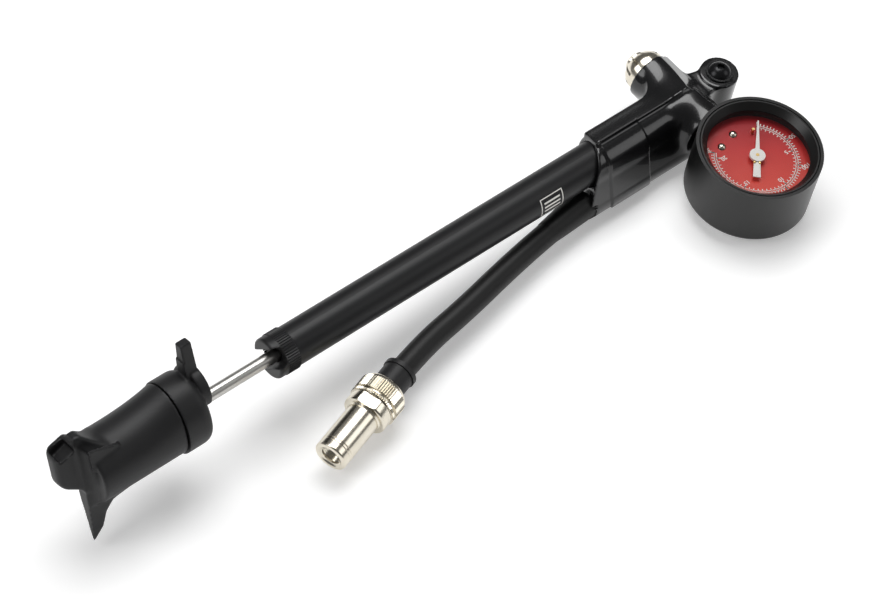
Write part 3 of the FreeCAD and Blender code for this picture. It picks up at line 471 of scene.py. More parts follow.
def ring_of(shape, count, radius, size, place, slot, start=0.0, step=None):
    """Plain mesh of count ridges or ticks round a circle; radius and size in millimetres."""
    tree = RING_TREES[shape]
    holder = bpy.data.objects.new("ring_holder", bpy.data.meshes.new("ring_holder"))
    bpy.context.scene.collection.objects.link(holder)
    modifier = holder.modifiers.new("ring", "NODES")
    modifier.node_group = tree
    values = {"Count": count, "Ring Radius": radius * MM, "Start": start,
              "Step": 2 * math.pi / count if step is None else step,
              "Size": [s * MM for s in size], "Finish": finishes[slot].material}
    for item in tree.interface.items_tree:
        if item.in_out == "INPUT":
            modifier[item.identifier] = values[item.name]
    bpy.context.view_layer.update()
    seen = holder.evaluated_get(bpy.context.evaluated_depsgraph_get())
    mesh = bpy.data.meshes.new_from_object(seen)
    holder.modifiers.clear()
    bpy.data.objects.remove(holder)
    mesh.transform(place)
    return mesh


print("ring trees:", sorted(RING_TREES))

# %% [markdown]
# ## Coupler
# A nickel nut turns on the hose's ferrule and carries the nozzle that screws on the valve. The nut
# has a wide and a narrow knurled band with a plain groove between them. Both parts are turned on a
# lathe in real life, so they are lathe outlines here, with the ridges added round them.

# %% Coupler sizes and pieces
NUT_START, NUT_LENGTH, NUT_R = 2.7, 9.8, 9.5
STEP_START = NUT_START + NUT_LENGTH
STEP_LENGTH, STEP_R = 5.0, 8.9
NOZZLE_START = STEP_START + STEP_LENGTH
NOZZLE_LENGTH, NOZZLE_R = 21.5, 6.6
MOUTH = NOZZLE_START + NOZZLE_LENGTH
SWIVEL_R, NUT_BORE_R, SPIGOT = 3.68, 6.0, 4.5
THREAD_R, MOUTH_R, THREAD_LENGTH, SEAL_POCKET_R = 3.85, 4.5, 9.0, 4.2
RIDGE, NUT_RIDGES = 0.5, 60
PASSAGE_R, SPIGOT_GAP = 1.5, 0.05
PITCH, THREAD_DEPTH = 0.8, 0.35


def arc(along, radius, size, first, last, steps=5):
    """Points of a rounded edge, from one angle to the other."""
    turns = [math.radians(first + (last - first) * i / steps) for i in range(steps + 1)]
    return [(along + size * math.cos(t), radius + size * math.sin(t)) for t in turns]


core = NUT_R - RIDGE
nut_outline = [(NUT_START, SWIVEL_R), (NUT_START, NUT_R - 2.4),
               *arc(NUT_START + 1.6, NUT_R - 2.2, 1.6, 170, 100),
               (NUT_START + 1.9, core), (NUT_START + 7.4, core), (NUT_START + 7.7, core - 0.6),
               (NUT_START + 8.2, core - 0.6), (NUT_START + 8.5, core), (STEP_START - 0.4, core),
               (STEP_START - 0.1, core - 0.3), (STEP_START - 0.1, NUT_BORE_R),
               (NUT_START + 3, NUT_BORE_R), (NUT_START + 3, SWIVEL_R)]
nut_place = frame_along(COUPLER_AXIS, HOSE_END)
nut_parts = [lathe("nut_body", nut_outline, HOSE_END, COUPLER_AXIS, 128)]
for middle, length in ((NUT_START + 4.7, 5.2), (NUT_START + 9.1, 0.9)):
    band = nut_place @ Matrix.Translation((0, 0, middle * MM))
    nut_parts.append(ring_of("ridge", NUT_RIDGES, core + 0.02, (RIDGE, RIDGE, length), band, "nickel"))
nut = settle("knurled_nut", joined("knurled_nut", nut_parts), "coupler", "nickel", ["coupler_nut"])

low = STEP_START - SPIGOT
pocket = MOUTH - (MOUTH_R - THREAD_R) - THREAD_LENGTH
nozzle_outline = [(low, PASSAGE_R), (low, NUT_BORE_R - SPIGOT_GAP), (STEP_START, NUT_BORE_R - SPIGOT_GAP),
                  (STEP_START, STEP_R - 0.5), *arc(STEP_START + 0.5, STEP_R - 0.5, 0.5, 180, 90),
                  *arc(NOZZLE_START - 0.9, STEP_R - 0.9, 0.9, 90, 0),
                  (NOZZLE_START, NOZZLE_R + 0.5), (NOZZLE_START + 0.5, NOZZLE_R)]
for groove in (MOUTH - 4.6, MOUTH - 3.4):
    nozzle_outline += [(groove - 0.2, NOZZLE_R), (groove, NOZZLE_R - 0.22), (groove + 0.2, NOZZLE_R)]
nozzle_outline += [(MOUTH - 1.1, NOZZLE_R), *arc(MOUTH - 0.7, NOZZLE_R - 0.7, 0.7, 90, 0),
                   (MOUTH, MOUTH_R + 0.3),
                   (MOUTH - 0.3, MOUTH_R), (MOUTH - (MOUTH_R - THREAD_R), THREAD_R)]
thread = MOUTH - 1.4
while thread > pocket + 1.2:
    nozzle_outline += [(thread, THREAD_R), (thread - PITCH / 2, THREAD_R + THREAD_DEPTH),
                       (thread - PITCH, THREAD_R)]
    thread -= PITCH
nozzle_outline += [(pocket, THREAD_R), (pocket, SEAL_POCKET_R), (pocket - 2, SEAL_POCKET_R),
                   (pocket - 2, PASSAGE_R)]


def spanner_flats(turn, along, radius):
    """How far the step's two flats cut into its round."""
    if not STEP_START < along < NOZZLE_START or radius < STEP_R - 1.5:
        return 0
    flat = STEP_R - 0.9
    reach = flat / max(abs(math.cos(turn)), 1e-6)
    return max(0, radius - reach)


nozzle_mesh = lathe("valve_nozzle", nozzle_outline, HOSE_END, COUPLER_AXIS, 128, spanner_flats)
nozzle = settle("valve_nozzle", nozzle_mesh, "coupler", "nickel", ["coupler_nozzle"])

BOOT_LENGTH, BOOT_BORE_R = 22, HOSE_R + 0.02
boot_outline = [(0, BOOT_BORE_R), (0, 6.0), (4, 5.95), (13, 5.45), (20, 4.95),
                (BOOT_LENGTH, HOSE_R + 0.08), (BOOT_LENGTH, BOOT_BORE_R)]
boot_axis = (HOSE_ROUTE[1] - HOSE_ROUTE[0]).normalized()
boot_mesh = lathe("hose_sleeve", boot_outline, HOSE_ROUTE[0] * MM, boot_axis)
boot = settle("hose_sleeve", boot_mesh, "pump", "black_rubber", ["hose_boot"])

# %% [markdown]
# ## Shapes from a distance field
# A casting or a moulding has no sharp inner corners: metal and plastic flow round them. A distance
# field suits that. Each simple form is a function that says how far a point is from its surface,
# and a soft minimum joins two forms with a fillet of a chosen size. The surface is then found on a
# grid, and its points are moved on to the true surface, so no grid steps show in the gloss.


# %% Field helpers
NUDGE = 0.04
SETTLING_STEPS = 4


def soft_join(a, b, size):
    h = np.clip(0.5 + 0.5 * (b - a) / size, 0, 1)
    return b * (1 - h) + a * h - size * h * (1 - h)


def soft_cut(a, b, size):
    """a without b, with a rounded edge."""
    return -soft_join(-a, b, size)


def soft_meet(a, b, size):
    """Only where a and b overlap, with a rounded edge."""
    return -soft_join(-a, -b, size)


def rod_field(p, start, end, radius, end_radius=None):
    """Round bar or cone between two points, with flat ends."""
    start, end = np.array(start, float), np.array(end, float)
    length = np.linalg.norm(end - start)
    axis = (end - start) / length
    along = (p - start) @ axis
    off = np.linalg.norm(p - start - along[..., None] * axis, axis=-1)
    wide = radius if end_radius is None else radius + (end_radius - radius) * np.clip(along / length, 0, 1)
    return soft_meet(off - wide, np.abs(along - length / 2) - length / 2, 0.3)


def box_field(p, centre, half, axes=np.eye(3), edge=0.4):
    """Box with rounded edges; axes are its three directions."""
    local = np.abs((p - np.array(centre, float)) @ np.array(axes, float).T) - (np.array(half, float) - edge)
    outside = np.linalg.norm(np.maximum(local, 0), axis=-1)
    return outside + np.minimum(local.max(-1), 0) - edge


def field_mesh(name, field, low, high, step):
    """Mesh of the surface where field is 0. Points in millimetres; the field is negative inside."""
    axes = [np.arange(a, b + step, step) for a, b in zip(low, high)]
    value = field(np.stack(np.meshgrid(*axes, indexing="ij"), -1))
    inside = value < 0
    cells = tuple(n - 1 for n in value.shape)
    corners = [(i, j, k) for i in (0, 1) for j in (0, 1) for k in (0, 1)]

    def at(array, corner):
        return array[tuple(slice(c, c + n) for c, n in zip(corner, cells))]

    count = sum(at(inside, c).astype(np.int8) for c in corners)
    crossed = (count > 0) & (count < 8)
    number = np.full(cells, -1)
    number[crossed] = np.arange(crossed.sum())
    total = np.zeros((crossed.sum(), 3))
    hits = np.zeros(crossed.sum())
    for a in corners:
        for axis in range(3):
            if a[axis]:
                continue
            b = tuple(c + (axis == n) for n, c in enumerate(a))
            first, second = at(value, a)[crossed], at(value, b)[crossed]
            cut = (first < 0) != (second < 0)
            share = np.where(cut, first / np.where(cut, first - second, 1), 0)
            spot = np.array(a, float) + share[:, None] * (np.array(b) - np.array(a))
            total += spot * cut[:, None]
            hits += cut
    points = (np.argwhere(crossed) + total / hits[:, None]) * step + np.array(low, float)
    faces = []
    for axis in range(3):
        u, v = (axis + 1) % 3, (axis + 2) % 3
        start = [slice(0, None)] * 3
        start[axis] = slice(0, -1)
        after = list(start)
        after[axis] = slice(1, None)
        edge = inside[tuple(start)] != inside[tuple(after)]
        where = np.argwhere(edge)
        within = (where[:, u] > 0) & (where[:, v] > 0) & (where[:, u] < cells[u]) & (where[:, v] < cells[v])
        where = where[within]
        quad = []
        for du, dv in ((1, 1), (0, 1), (0, 0), (1, 0)):
            cell = where.copy()
            cell[:, u] -= du
            cell[:, v] -= dv
            quad.append(number[tuple(cell.T)])
        quad = np.stack(quad, 1)
        solid_first = inside[tuple(where.T)]
        faces += np.where(solid_first[:, None], quad, quad[:, ::-1]).tolist()
    for _ in range(SETTLING_STEPS):
        here = field(points)
        slope = np.stack([(field(points + d) - field(points - d)) / (2 * NUDGE)
                          for d in np.eye(3) * NUDGE], -1)
        move = here[:, None] * slope / np.maximum((slope ** 2).sum(-1), 0.05)[:, None]
        points = points - np.clip(move, -0.4 * step, 0.4 * step)
    return mesh_of(name, points.tolist(), faces)


# %% [markdown]
# ## Head casting
# One casting holds the barrel, the hose, the cross tube and the screw lug. A flat ridge runs along
# its top and sweeps into the cross tube, and a slightly raised panel covers the side where the hose
# goes in. All of it joins with generous fillets under glossy enamel.

# %% The head's field
HEAD_R = 9.6
BARREL_R = 8.05
CROSS_X = GAUGE_CENTRE.x / MM
screw_low, screw_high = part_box("lug_screw")
CROSS_R, CROSS_BORE_R = 10.0, 5.0
CROSS_FROM, CROSS_TO = -14.7, 19.5
LUG_X, LUG_Y = (screw_low.x + screw_high.x) / 2 / MM, (screw_low.y + screw_high.y) / 2 / MM
LUG_R, LUG_HALF = 7.75, 6.4
RIDGE_TURN = math.radians(61)
RIDGE_HALF = 5.3
FLAT_TURN = math.radians(52)
LIP_SLANT = np.array([1, -0.43, -0.2])
HOSE_SOCKET_R, SCREW_HOLE_R = 6.4, 2.55
RIDGE_OUT = np.array([0, math.cos(RIDGE_TURN), math.sin(RIDGE_TURN)])
RIDGE_ALONG = np.array([0, math.sin(RIDGE_TURN), -math.cos(RIDGE_TURN)])
LOBE = np.array([0, -7.4, -12.9])
LOBE_R = 6.6
SOCKET = np.array(HOSE_ROUTE[0] - HOSE_ROUTE[1]) / (HOSE_ROUTE[0] - HOSE_ROUTE[1]).length
LIP_X = 75.7


def neck_field(p):
    """Barrel socket, hose socket and the fair side between them, open-ended along X."""
    off = np.hypot(p[..., 1], p[..., 2])
    share = np.clip((p[..., 1] * LOBE[1] + p[..., 2] * LOBE[2]) / (LOBE @ LOBE), 0, 1)
    centre_y, centre_z = share * LOBE[1], share * LOBE[2]
    width = HEAD_R + (LOBE_R - HEAD_R) * share
    fair = np.hypot(p[..., 1] - centre_y, p[..., 2] - centre_z) - width
    ridge = np.maximum(p @ RIDGE_OUT - (HEAD_R + 0.15), np.abs(p @ RIDGE_ALONG) - RIDGE_HALF)
    ridge = np.maximum(ridge, -(p @ RIDGE_OUT))
    return soft_join(soft_join(off - HEAD_R, fair, 0.5), ridge, 0.7)


def head_field(p):
    neck = neck_field(p)
    x = p[..., 0]
    corner = np.hypot(np.maximum(x - 93, 0), np.maximum(np.abs(p @ RIDGE_ALONG + 9) - 5, 0)) - 6
    panel_side = np.maximum(78.6 - x, corner)
    panel_side = np.maximum(panel_side, p @ RIDGE_ALONG + 5.2)
    panel = soft_meet(neck - 0.75, panel_side, 0.5)
    far_end = x - CROSS_X
    body = soft_join(np.maximum(neck, far_end), panel, 0.35)
    cross = rod_field(p, (CROSS_X, CROSS_FROM, 0), (CROSS_X, CROSS_TO, 0), CROSS_R)
    shape = soft_join(body, cross, 7.0)
    flat = np.array([math.cos(FLAT_TURN), 0, math.sin(FLAT_TURN)])
    flattened = soft_meet(shape, (p - [CROSS_X, 0, 0]) @ flat - (CROSS_R - 0.5), 0.15)
    shape = np.where(p[..., 1] > -2, flattened, shape)
    boss = rod_field(p, (LUG_X, LUG_Y, -LUG_HALF), (LUG_X, LUG_Y, LUG_HALF - 0.8), LUG_R)
    reach = np.clip((LUG_X - x) / (LUG_X - CROSS_X), 0, 1)
    web = np.abs(p[..., 1] - LUG_Y - reach * 1.5) - (5.6 + 6.0 * reach ** 2.5)
    web = soft_meet(web, np.abs(p[..., 2] - 0.2) - (5.0 - 0.5 * reach), 1.2)
    web = np.maximum(web, np.maximum(CROSS_X - x, x - LUG_X))
    shape = soft_join(shape, soft_join(boss, web, 1.6), 1.6)
    slant = LIP_SLANT / np.linalg.norm(LIP_SLANT)
    shape = soft_cut(shape, (p - [LIP_X, 0, 0]) @ slant, 0.7)
    shape = np.maximum(shape, CROSS_FROM - p[..., 1])
    shape = np.maximum(shape, p[..., 1] - CROSS_TO)
    start = np.array(HOSE_ROUTE[0])
    holes = (
        (np.array([0, 0, 0]), np.array([CROSS_X - 22, 0, 0]), BARREL_R),
        (np.array([CROSS_X, -40, 0]), np.array([CROSS_X, 40, 0]), CROSS_BORE_R),
        (start - SOCKET * 24, start, HOSE_SOCKET_R),
        (np.array([LUG_X, LUG_Y, -20]), np.array([LUG_X, LUG_Y, 20]), SCREW_HOLE_R),
    )
    for first, last, radius in holes:
        shape = np.maximum(shape, -rod_field(p, first, last, radius))
    return shape


head = field_mesh("cast_head", head_field, (62, -22, -22), (157, 22, 14), 0.5)
settle("cast_head", head, "pump", "black_gloss_paint", ["head_casting"], edge=math.radians(50))

# %% [markdown]
# ## Handle
# The grip is a round moulding that swells towards the thumb tab and ends in a fin: a narrow band at
# its back edge, with flanks that run into the grip in a hollow curve. Behind the fin is a small
# block with a sloping recess. The lock collar in front turns on its own, so it is its own piece.

# %% Grip and collar fields
HANDLE_TURN = math.radians(72)
H_UP = np.array([0, math.cos(HANDLE_TURN), math.sin(HANDLE_TURN)])
H_ALONG = np.array([1, 0, 0])
H_SIDE = np.cross(H_UP, H_ALONG)
RECESS_COS, RECESS_SIN = 0.92, 0.39
ROD_HOLE_R = 2.55
GRIP_R, NECK_R, COLLAR_R = 13.0, 9.0, 13.6
COLLAR_FRONT, SEAM, FIN_BACK = -113.5, -125.5, -163.5
FIN_TOP, FIN_LOW = 18.5, -33.0
TAB_TOP, TAB_FOOT, TAB_HALF, TAB_THICK = 29.5, 11.6, 3.5, 2.5
LEDGE_UP, LEDGE = 22.5, 0.5
BOSS_REACH = 18.4
GRIP_SWELL, COLLAR_SWELL = 3.2, 2.6
SWELL_FROM, SWELL_LENGTH = -150, 24
NECK_MID, NECK_HALF = -120, 6.1
BLOCK_LENGTH, BLOCK_ASIDE, BLOCK_HALF = 8.5, 1.6, 4.4
BLOCK_LOW, BLOCK_TOP = -6.0, 16.5
GUSSET_ASIDE, GUSSET_HALF = 8.2, 0.7
FIN_FILLET = 3.6

# At each level up the fin: half its band's width, half its width at the root, and how far it runs
FIN_LEVELS = (FIN_LOW, -27, -20, -13, 0, 12, FIN_TOP)
FIN_FACE = (0.35, 1.2, 1.9, 2.7, 3.2, 3.0, 2.2)
FIN_ROOT = (0.5, 2.2, 3.4, 6.0, 8.0, 5.0, 2.6)
FIN_DEEP = (0.8, 4.6, 6.6, 10.0, 12.0, 9.0, 2.6)


def handle_axes(p):
    return p[..., 0], p @ H_SIDE, p @ H_UP


def grip_field(p):
    x, side, up = handle_axes(p)
    off = np.hypot(side, up)
    rise = np.clip((x - SWELL_FROM) / SWELL_LENGTH, 0, 1)
    swell = GRIP_SWELL * rise ** 2.2 * np.clip(up / np.maximum(off, 1), 0, 1) ** 2
    barrel = off - (GRIP_R - 0.3 + swell)
    barrel = soft_meet(soft_meet(barrel, x - SEAM, 0.25), FIN_BACK + 3 - x, 1.0)
    face = np.interp(up, FIN_LEVELS, FIN_FACE)
    root = np.interp(up, FIN_LEVELS, FIN_ROOT)
    deep = np.interp(up, FIN_LEVELS, FIN_DEEP)
    share = np.clip((x - FIN_BACK - 0.5) / np.maximum(deep, 0.1), 0, 1)
    fin = np.abs(side) - (face + (root - face) * share ** 1.4)
    fin = soft_meet(fin * 0.85, FIN_BACK - x, 0.3)
    fin = soft_meet(fin, x - FIN_BACK - deep, 1.5)
    fin = soft_meet(fin, np.maximum(FIN_LOW - up, up - FIN_TOP), 0.8)
    shape = soft_join(barrel, fin, FIN_FILLET)
    taper = np.clip((FIN_BACK - x) / BLOCK_LENGTH, 0, 1)
    block = soft_meet(np.abs(side - BLOCK_ASIDE) - (BLOCK_HALF - 0.8 * taper),
                      soft_meet(BLOCK_LOW + 5.5 * taper - up, up - (BLOCK_TOP - 1.5 * taper), 2.0), 2.0)
    block = soft_meet(block, np.maximum(FIN_BACK - BLOCK_LENGTH - x, x - FIN_BACK - 2), 3.0)
    recess_place = (FIN_BACK - 4.6) * H_ALONG + H_UP * 15.6
    recess_axes = (RECESS_COS * H_ALONG + RECESS_SIN * H_UP, H_SIDE, RECESS_COS * H_UP - RECESS_SIN * H_ALONG)
    recess = box_field(p - recess_place, (0, 0, 0), (3.4, 3.4, 3.2), recess_axes, 0.6)
    block = soft_cut(block, recess, 0.4)
    shape = soft_join(shape, block, 2.2)
    gusset = np.maximum(np.abs(side + GUSSET_ASIDE - (x + 163) * 0.05) - GUSSET_HALF, up - (14.8 - (x + 160) * 0.34))
    gusset = np.maximum(gusset, np.maximum(6 - up, np.maximum(-162 - x, x + 149.5)))
    shape = soft_join(shape, gusset, 0.8)
    neck = soft_meet(off - NECK_R, np.abs(x - NECK_MID) - NECK_HALF, 0.3)
    shape = np.minimum(shape, neck)
    shape = np.maximum(shape, -rod_field(p, (-137.6, 0, 0), (-100, 0, 0), ROD_HOLE_R))
    return shape


def collar_field(p):
    x, side, up = handle_axes(p)
    off = np.hypot(side, up)
    swell = COLLAR_SWELL * np.clip(up / np.maximum(off, 1), 0, 1) ** 2
    body = soft_meet(off - COLLAR_R - swell, x - COLLAR_FRONT, 4.6)
    body = soft_meet(body, SEAM + 0.4 - x, 0.25)
    width = TAB_HALF - TAB_HALF / 2 * np.clip((up - TAB_FOOT) / (TAB_TOP - TAB_FOOT), 0, 1)
    ledge = np.where(up > LEDGE_UP, LEDGE, 0.0)
    tab = np.maximum(np.abs(side) - width, np.maximum(up - TAB_TOP, 9.6 - up))
    tab = soft_meet(tab, np.maximum(COLLAR_FRONT - TAB_THICK + ledge - x, x - COLLAR_FRONT - TAB_THICK), 0.5)
    shape = soft_join(body, tab, 1.0)
    boss = soft_meet(np.hypot(side, up - (COLLAR_R - 5)) - NECK_R, np.abs(x - COLLAR_FRONT - 1) - 2, 0.8)
    boss = np.maximum(boss, off - BOSS_REACH)
    shape = soft_join(shape, boss, 0.6)
    return np.maximum(shape, NECK_R + 0.08 - off)


grip = field_mesh("grip_moulding", grip_field, (-174, -18, -34), (-112, 18, 22), 0.55)
settle("grip_moulding", grip, "plunger", "black_plastic", ["grip"], edge=math.radians(50))
collar = field_mesh("thumb_collar", collar_field, (-128, -16, -16), (-108, 16, 32), 0.45)
settle("thumb_collar", collar, "lock_collar", "black_plastic", ["lock_collar"], edge=math.radians(50))

# %% [markdown]
# ## Barrel cap
# The cap screws into the barrel's end. Its rim is cut by a wide slot that leaves two prongs, and a
# fine knurl next to the barrel gives grip. The slotted body is a field shape, and the ridges are a
# ring.

# %% Cap
CAP_FRONT, CAP_BACK = -80.5, -71.5
CAP_R, CAP_BORE_R = 8.4, 2.9
SLOT_DEPTH, SLOT_R = 4.5, 4.0
KNURL_X, KNURL_COUNT, KNURL_SIZE, KNURL_SUNK = -74.2, 54, (0.42, 0.42, 5.4), 0.35
SLOT_TURN = math.radians(40)
PRONGS = np.array([0, math.cos(SLOT_TURN), math.sin(SLOT_TURN)])


def cap_field(p):
    off = np.hypot(p[..., 1], p[..., 2])
    shape = soft_meet(off - (CAP_R - 0.2), CAP_FRONT - p[..., 0], 1.2)
    shape = soft_meet(shape, p[..., 0] - CAP_BACK, 0.3)
    depth = CAP_FRONT + SLOT_DEPTH
    round_floor = np.hypot(np.maximum(p[..., 0] - depth + SLOT_R, 0), p @ PRONGS) - SLOT_R
    shape = soft_cut(shape, round_floor, 0.3)
    return np.maximum(shape, CAP_BORE_R - off)


cap_parts = [field_mesh("cap_body", cap_field, (-82, -10, -10), (-70, 10, 10), 0.32)]
knurl_place = frame_along(Vector((1, 0, 0)), Vector((KNURL_X * MM, 0, 0)))
knurl = ring_of("ridge", KNURL_COUNT, CAP_R - KNURL_SUNK, KNURL_SIZE, knurl_place, "black_anodised")
cap_parts.append(knurl)
settle("slotted_cap", joined("slotted_cap", cap_parts), "pump", "black_anodised", ["barrel_cap"])

# %% [markdown]
# ## Bleed knob
# The bleed valve's body is a domed nickel knob with small notches round its shoulder, and the
# button stands out of its face. The notches are a ripple in the turned outline.

# %% Knob and button
KNOB_FROM = Vector((GAUGE_CENTRE.x, 0.0195, 0.0))
KNOB_AXIS = Vector((0, 1, 0))
KNOB_R, KNOB_LENGTH = 8.7, 7.5


def knob_notches(turn, along, radius):
    """Ten notches in the shoulder."""
    if not 3.0 < along < 7.0 or radius < 5.5:
        return 0
    return 0.8 * max(0.0, math.cos(10 * turn) - 0.75) / 0.25


knob_outline = [(-7, 1.7), (-7, 4.9), (0, 4.9), (0, KNOB_R - 0.4), *arc(0.4, KNOB_R - 0.4, 0.4, 180, 90, 3),
                (2.6, KNOB_R), (3.2, KNOB_R - 0.06), (4.2, KNOB_R - 0.35), (5.2, KNOB_R - 0.85),
                (6.1, KNOB_R - 1.5), (6.8, KNOB_R - 2.15), (7.3, KNOB_R - 2.9),
                (KNOB_LENGTH, KNOB_R - 3.6), (KNOB_LENGTH, 4.5), (4, 4.5), (4, 1.7)]
knob_mesh = lathe("bleed_knob", knob_outline, KNOB_FROM, KNOB_AXIS, 160, knob_notches)
settle("bleed_knob", knob_mesh, "pump", "nickel", ["bleed_body"])

# %% [markdown]
# ## Spring under the button
# The coil shortens as the button goes down in the real pump. Here it is a plain copy of the imported
# one, with a mesh of its own.

# %% Spring
spring_node = frame["nodes"]["bleed_spring"]
coil = spring_node.data.copy()
coil.transform(spring_node.matrix_world)
coil_piece = settle("bleed_coil", coil, "pump", "spring_steel", ["bleed_spring"])
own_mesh(coil_piece)

# %% [markdown]
# ## Gauge
# The print lies on the dial as a thin mesh. Ticks are boxes, the arcs are flat strips, and the
# numbers are text made into a mesh. Zero is at 45 degrees and the
# scale runs clockwise, with the gap over the stem.

# %% Dial print
DIAL_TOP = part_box("gauge_dial")[1].z / MM
print("dial face at, mm:", round(DIAL_TOP, 2))
ZERO = math.radians(45)
SWEEP = math.radians(270)
PRINT = 0.03
dial_place = Matrix.Translation(GAUGE_CENTRE + Vector((0, 0, (DIAL_TOP + PRINT / 2) * MM)))


def dial_arc(name, radius, width, steps=120):
    """Flat strip along the scale."""
    points, faces = [], []
    for i in range(steps + 1):
        turn = ZERO - SWEEP * i / steps
        for r in (radius, radius + width):
            for z in (0, PRINT):
                points.append((r * math.cos(turn), r * math.sin(turn), z - PRINT / 2))
    for i in range(steps):
        a, b = 4 * i, 4 * i + 4
        for k, m in ((0, 1), (1, 3), (3, 2), (2, 0)):
            faces.append((a + k, a + m, b + m, b + k))
    faces += [(0, 2, 3, 1), (4 * steps, 4 * steps + 1, 4 * steps + 3, 4 * steps + 2)]
    mesh = mesh_of(name, points, faces)
    mesh.transform(dial_place)
    return mesh


def number(text, value, full, radius, height):
    """A number on the dial, upright with the stem at the bottom."""
    letters = bpy.data.curves.new("number", "FONT")
    letters.body = text
    letters.align_x, letters.align_y = "CENTER", "CENTER"
    letters.extrude = PRINT / 2 / height
    letters.offset = 0.02
    holder = bpy.data.objects.new("number", letters)
    bpy.context.scene.collection.objects.link(holder)
    bpy.context.view_layer.update()
    mesh = bpy.data.meshes.new_from_object(holder.evaluated_get(bpy.context.evaluated_depsgraph_get()))
    bpy.data.objects.remove(holder)
    turn = ZERO - SWEEP * value / full
    spot = Vector((math.cos(turn), math.sin(turn), 0)) * radius * MM
    mesh.transform(dial_place @ Matrix.Translation(spot) @ Matrix.Rotation(math.pi, 4, "Z")
                   @ Matrix.Scale(height * MM, 4))
    return mesh


PSI_FULL, BAR_FULL = 300, 20.7
bar_step = SWEEP / BAR_FULL
marks_print = [dial_arc("outer_arc", 16.3, 0.3), dial_arc("inner_arc", 15.5, 0.3)]
TICKS = ((61, 16.9, (1.5, 0.38, PRINT), SWEEP / 60), (7, 17.3, (2.2, 0.55, PRINT), SWEEP / 6),
         (41, 15.2, (1.2, 0.34, PRINT), bar_step / 2), (5, 14.8, (1.8, 0.5, PRINT), bar_step * 5))
for count, radius, size, step in TICKS:
    marks_print.append(ring_of("tick", count, radius, size, dial_place, "white_paint", ZERO, -step))
for value in range(50, 301, 50):
    marks_print.append(number(str(value), value, PSI_FULL, 19.5, 2.7))
for value in range(5, 21, 5):
    marks_print.append(number(str(value), value, BAR_FULL, 12.8, 2.5))
settle("dial_print", joined("dial_print", marks_print), "pump", "white_paint", smooth=False)

# %% [markdown]
# ## Needle pins
# Two small brass pins stand on the needle's tail beside its hub.

# %% Pins on the needle
NEEDLE_TURN = math.radians(45)
along_needle = Vector((math.cos(NEEDLE_TURN), math.sin(NEEDLE_TURN), 0))
beside = Vector((-along_needle.y, along_needle.x, 0))
pins = []
for side in (-1, 1):
    foot = GAUGE_CENTRE + (along_needle * -3.5 + beside * 1.05 * side) * MM
    outline = [(a + DIAL_TOP, r) for a, r in ((1.65, 0), (1.65, 0.55), (2.45, 0.55), (2.6, 0.4), (2.65, 0))]
    pins.append(lathe("tail_pin", outline, foot, Vector((0, 0, 1)), 24))
settle("tail_pins", joined("tail_pins", pins), "needle", "brass")

# %% [markdown]
# ## Barrel label
# A small pale frame with three plain bars stands for the printed label near the head.

# %% Label on the barrel
LABEL_X = (45.0, 56.0)
LABEL_MID = math.radians(163)
LABEL_R = 8.02
LABEL_HALF, LABEL_LINE, LABEL_INSET = 4.2, 0.45, 1.6


def barrel_patch(name, x_low, x_high, turn_low, turn_high, steps=16):
    """Thin curved patch of print on the barrel."""
    points, faces = [], []
    for i in range(steps + 1):
        turn = turn_low + (turn_high - turn_low) * i / steps
        for x in (x_low, x_high):
            for r in (LABEL_R - 0.02, LABEL_R):
                points.append((x, r * math.cos(turn), r * math.sin(turn)))
    for i in range(steps):
        a, b = 4 * i, 4 * i + 4
        for k, m in ((0, 1), (1, 3), (3, 2), (2, 0)):
            faces.append((a + k, a + m, b + m, b + k))
    faces += [(0, 2, 3, 1), (4 * steps, 4 * steps + 1, 4 * steps + 3, 4 * steps + 2)]
    return mesh_of(name, points, faces)


half_turn = LABEL_HALF / LABEL_R
line_turn = LABEL_LINE / LABEL_R
edges = ((-half_turn, -half_turn + line_turn, 0), (half_turn - line_turn, half_turn, 0))
bars = tuple(((y - 0.4) / LABEL_R, (y + 0.4) / LABEL_R, LABEL_INSET) for y in (-1.8, 0, 1.8))
patches = []
for low_turn, high_turn, inset in edges + bars:
    patches.append(barrel_patch("label_bar", LABEL_X[0] + inset, LABEL_X[1] - inset,
                                LABEL_MID + low_turn, LABEL_MID + high_turn))
for x in (LABEL_X[0], LABEL_X[1] - LABEL_LINE):
    patches.append(barrel_patch("label_side", x, x + LABEL_LINE, LABEL_MID - half_turn, LABEL_MID + half_turn))
settle("barrel_label", joined("barrel_label", patches), "pump", "white_paint", smooth=False)

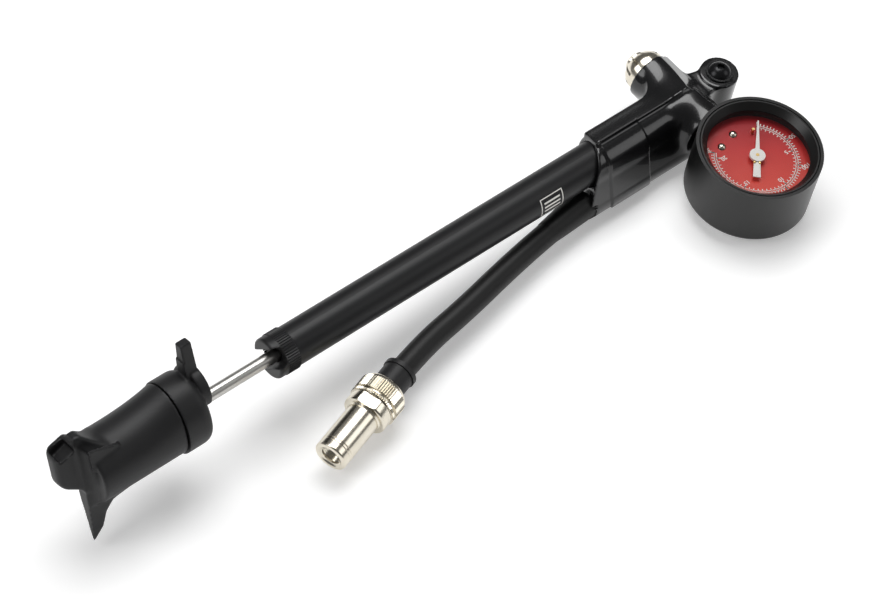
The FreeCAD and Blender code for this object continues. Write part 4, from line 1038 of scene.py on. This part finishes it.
# %% [markdown]
# ## Studio
# The pump lies on a pale table on three points: the fin's tip, the coupler's nut and the gauge's
# lower edge. The table is therefore tilted a little in the barrel's own axes. Soft lights stand
# over it.

# %% Table and lights
TABLE_NORMAL = Vector((-0.0527, 0.1035, 1.0)).normalized()
TABLE_CORNERS = ((-4, -4), (4, -4), (4, 4), (-4, 4))
lowest = min(TABLE_NORMAL.dot(piece.matrix_world @ Vector(v.co))
             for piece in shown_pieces() if piece.type == "MESH" for v in piece.data.vertices)
table = bpy.data.meshes.new("table_top")
table.from_pydata([(x, y, 0) for x, y in TABLE_CORNERS], [], [(0, 1, 2, 3)])
table.transform(frame_along(TABLE_NORMAL, TABLE_NORMAL * lowest))
table_top = bpy.data.objects.new("table_top", table)
bpy.context.scene.collection.objects.link(table_top)
paper = Finish("table_paper", base_color=(0.86, 0.86, 0.86), roughness=0.7,
               emission_color=(1.0, 1.0, 1.0), emission_strength=0.28)
table.materials.append(paper.material)
table_top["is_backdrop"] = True


def soft_light(name, place, size, power, size_y=None):
    """Area light that points at the pump's middle."""
    lamp = bpy.data.lights.new(name, "AREA")
    lamp.shape = "RECTANGLE"
    lamp.size, lamp.size_y = size, size_y or size
    lamp.energy = power
    light = bpy.data.objects.new(name, lamp)
    light.location = place
    light.rotation_mode = "QUATERNION"
    light.rotation_quaternion = Vector(place).to_track_quat("Z", "Y")
    bpy.context.scene.collection.objects.link(light)


soft_light("top_box", (0.25, 0.45, 1.3), 1.1, 11, 0.8)
soft_light("left_box", (-1.1, 0.5, 0.9), 0.8, 5)
soft_light("right_box", (1.0, -0.9, 1.0), 0.8, 2.5)

world = bpy.data.worlds.new("studio")
bpy.context.scene.world = world
world.use_nodes = True
world.node_tree.nodes["Background"].inputs[0].default_value = (1, 1, 1, 1)
world.node_tree.nodes["Background"].inputs[1].default_value = 0.14
bpy.context.scene.view_settings.view_transform = "Standard"
bpy.context.scene.view_settings.look = "Medium High Contrast"
print("table at, mm:", round(lowest / MM, 2))
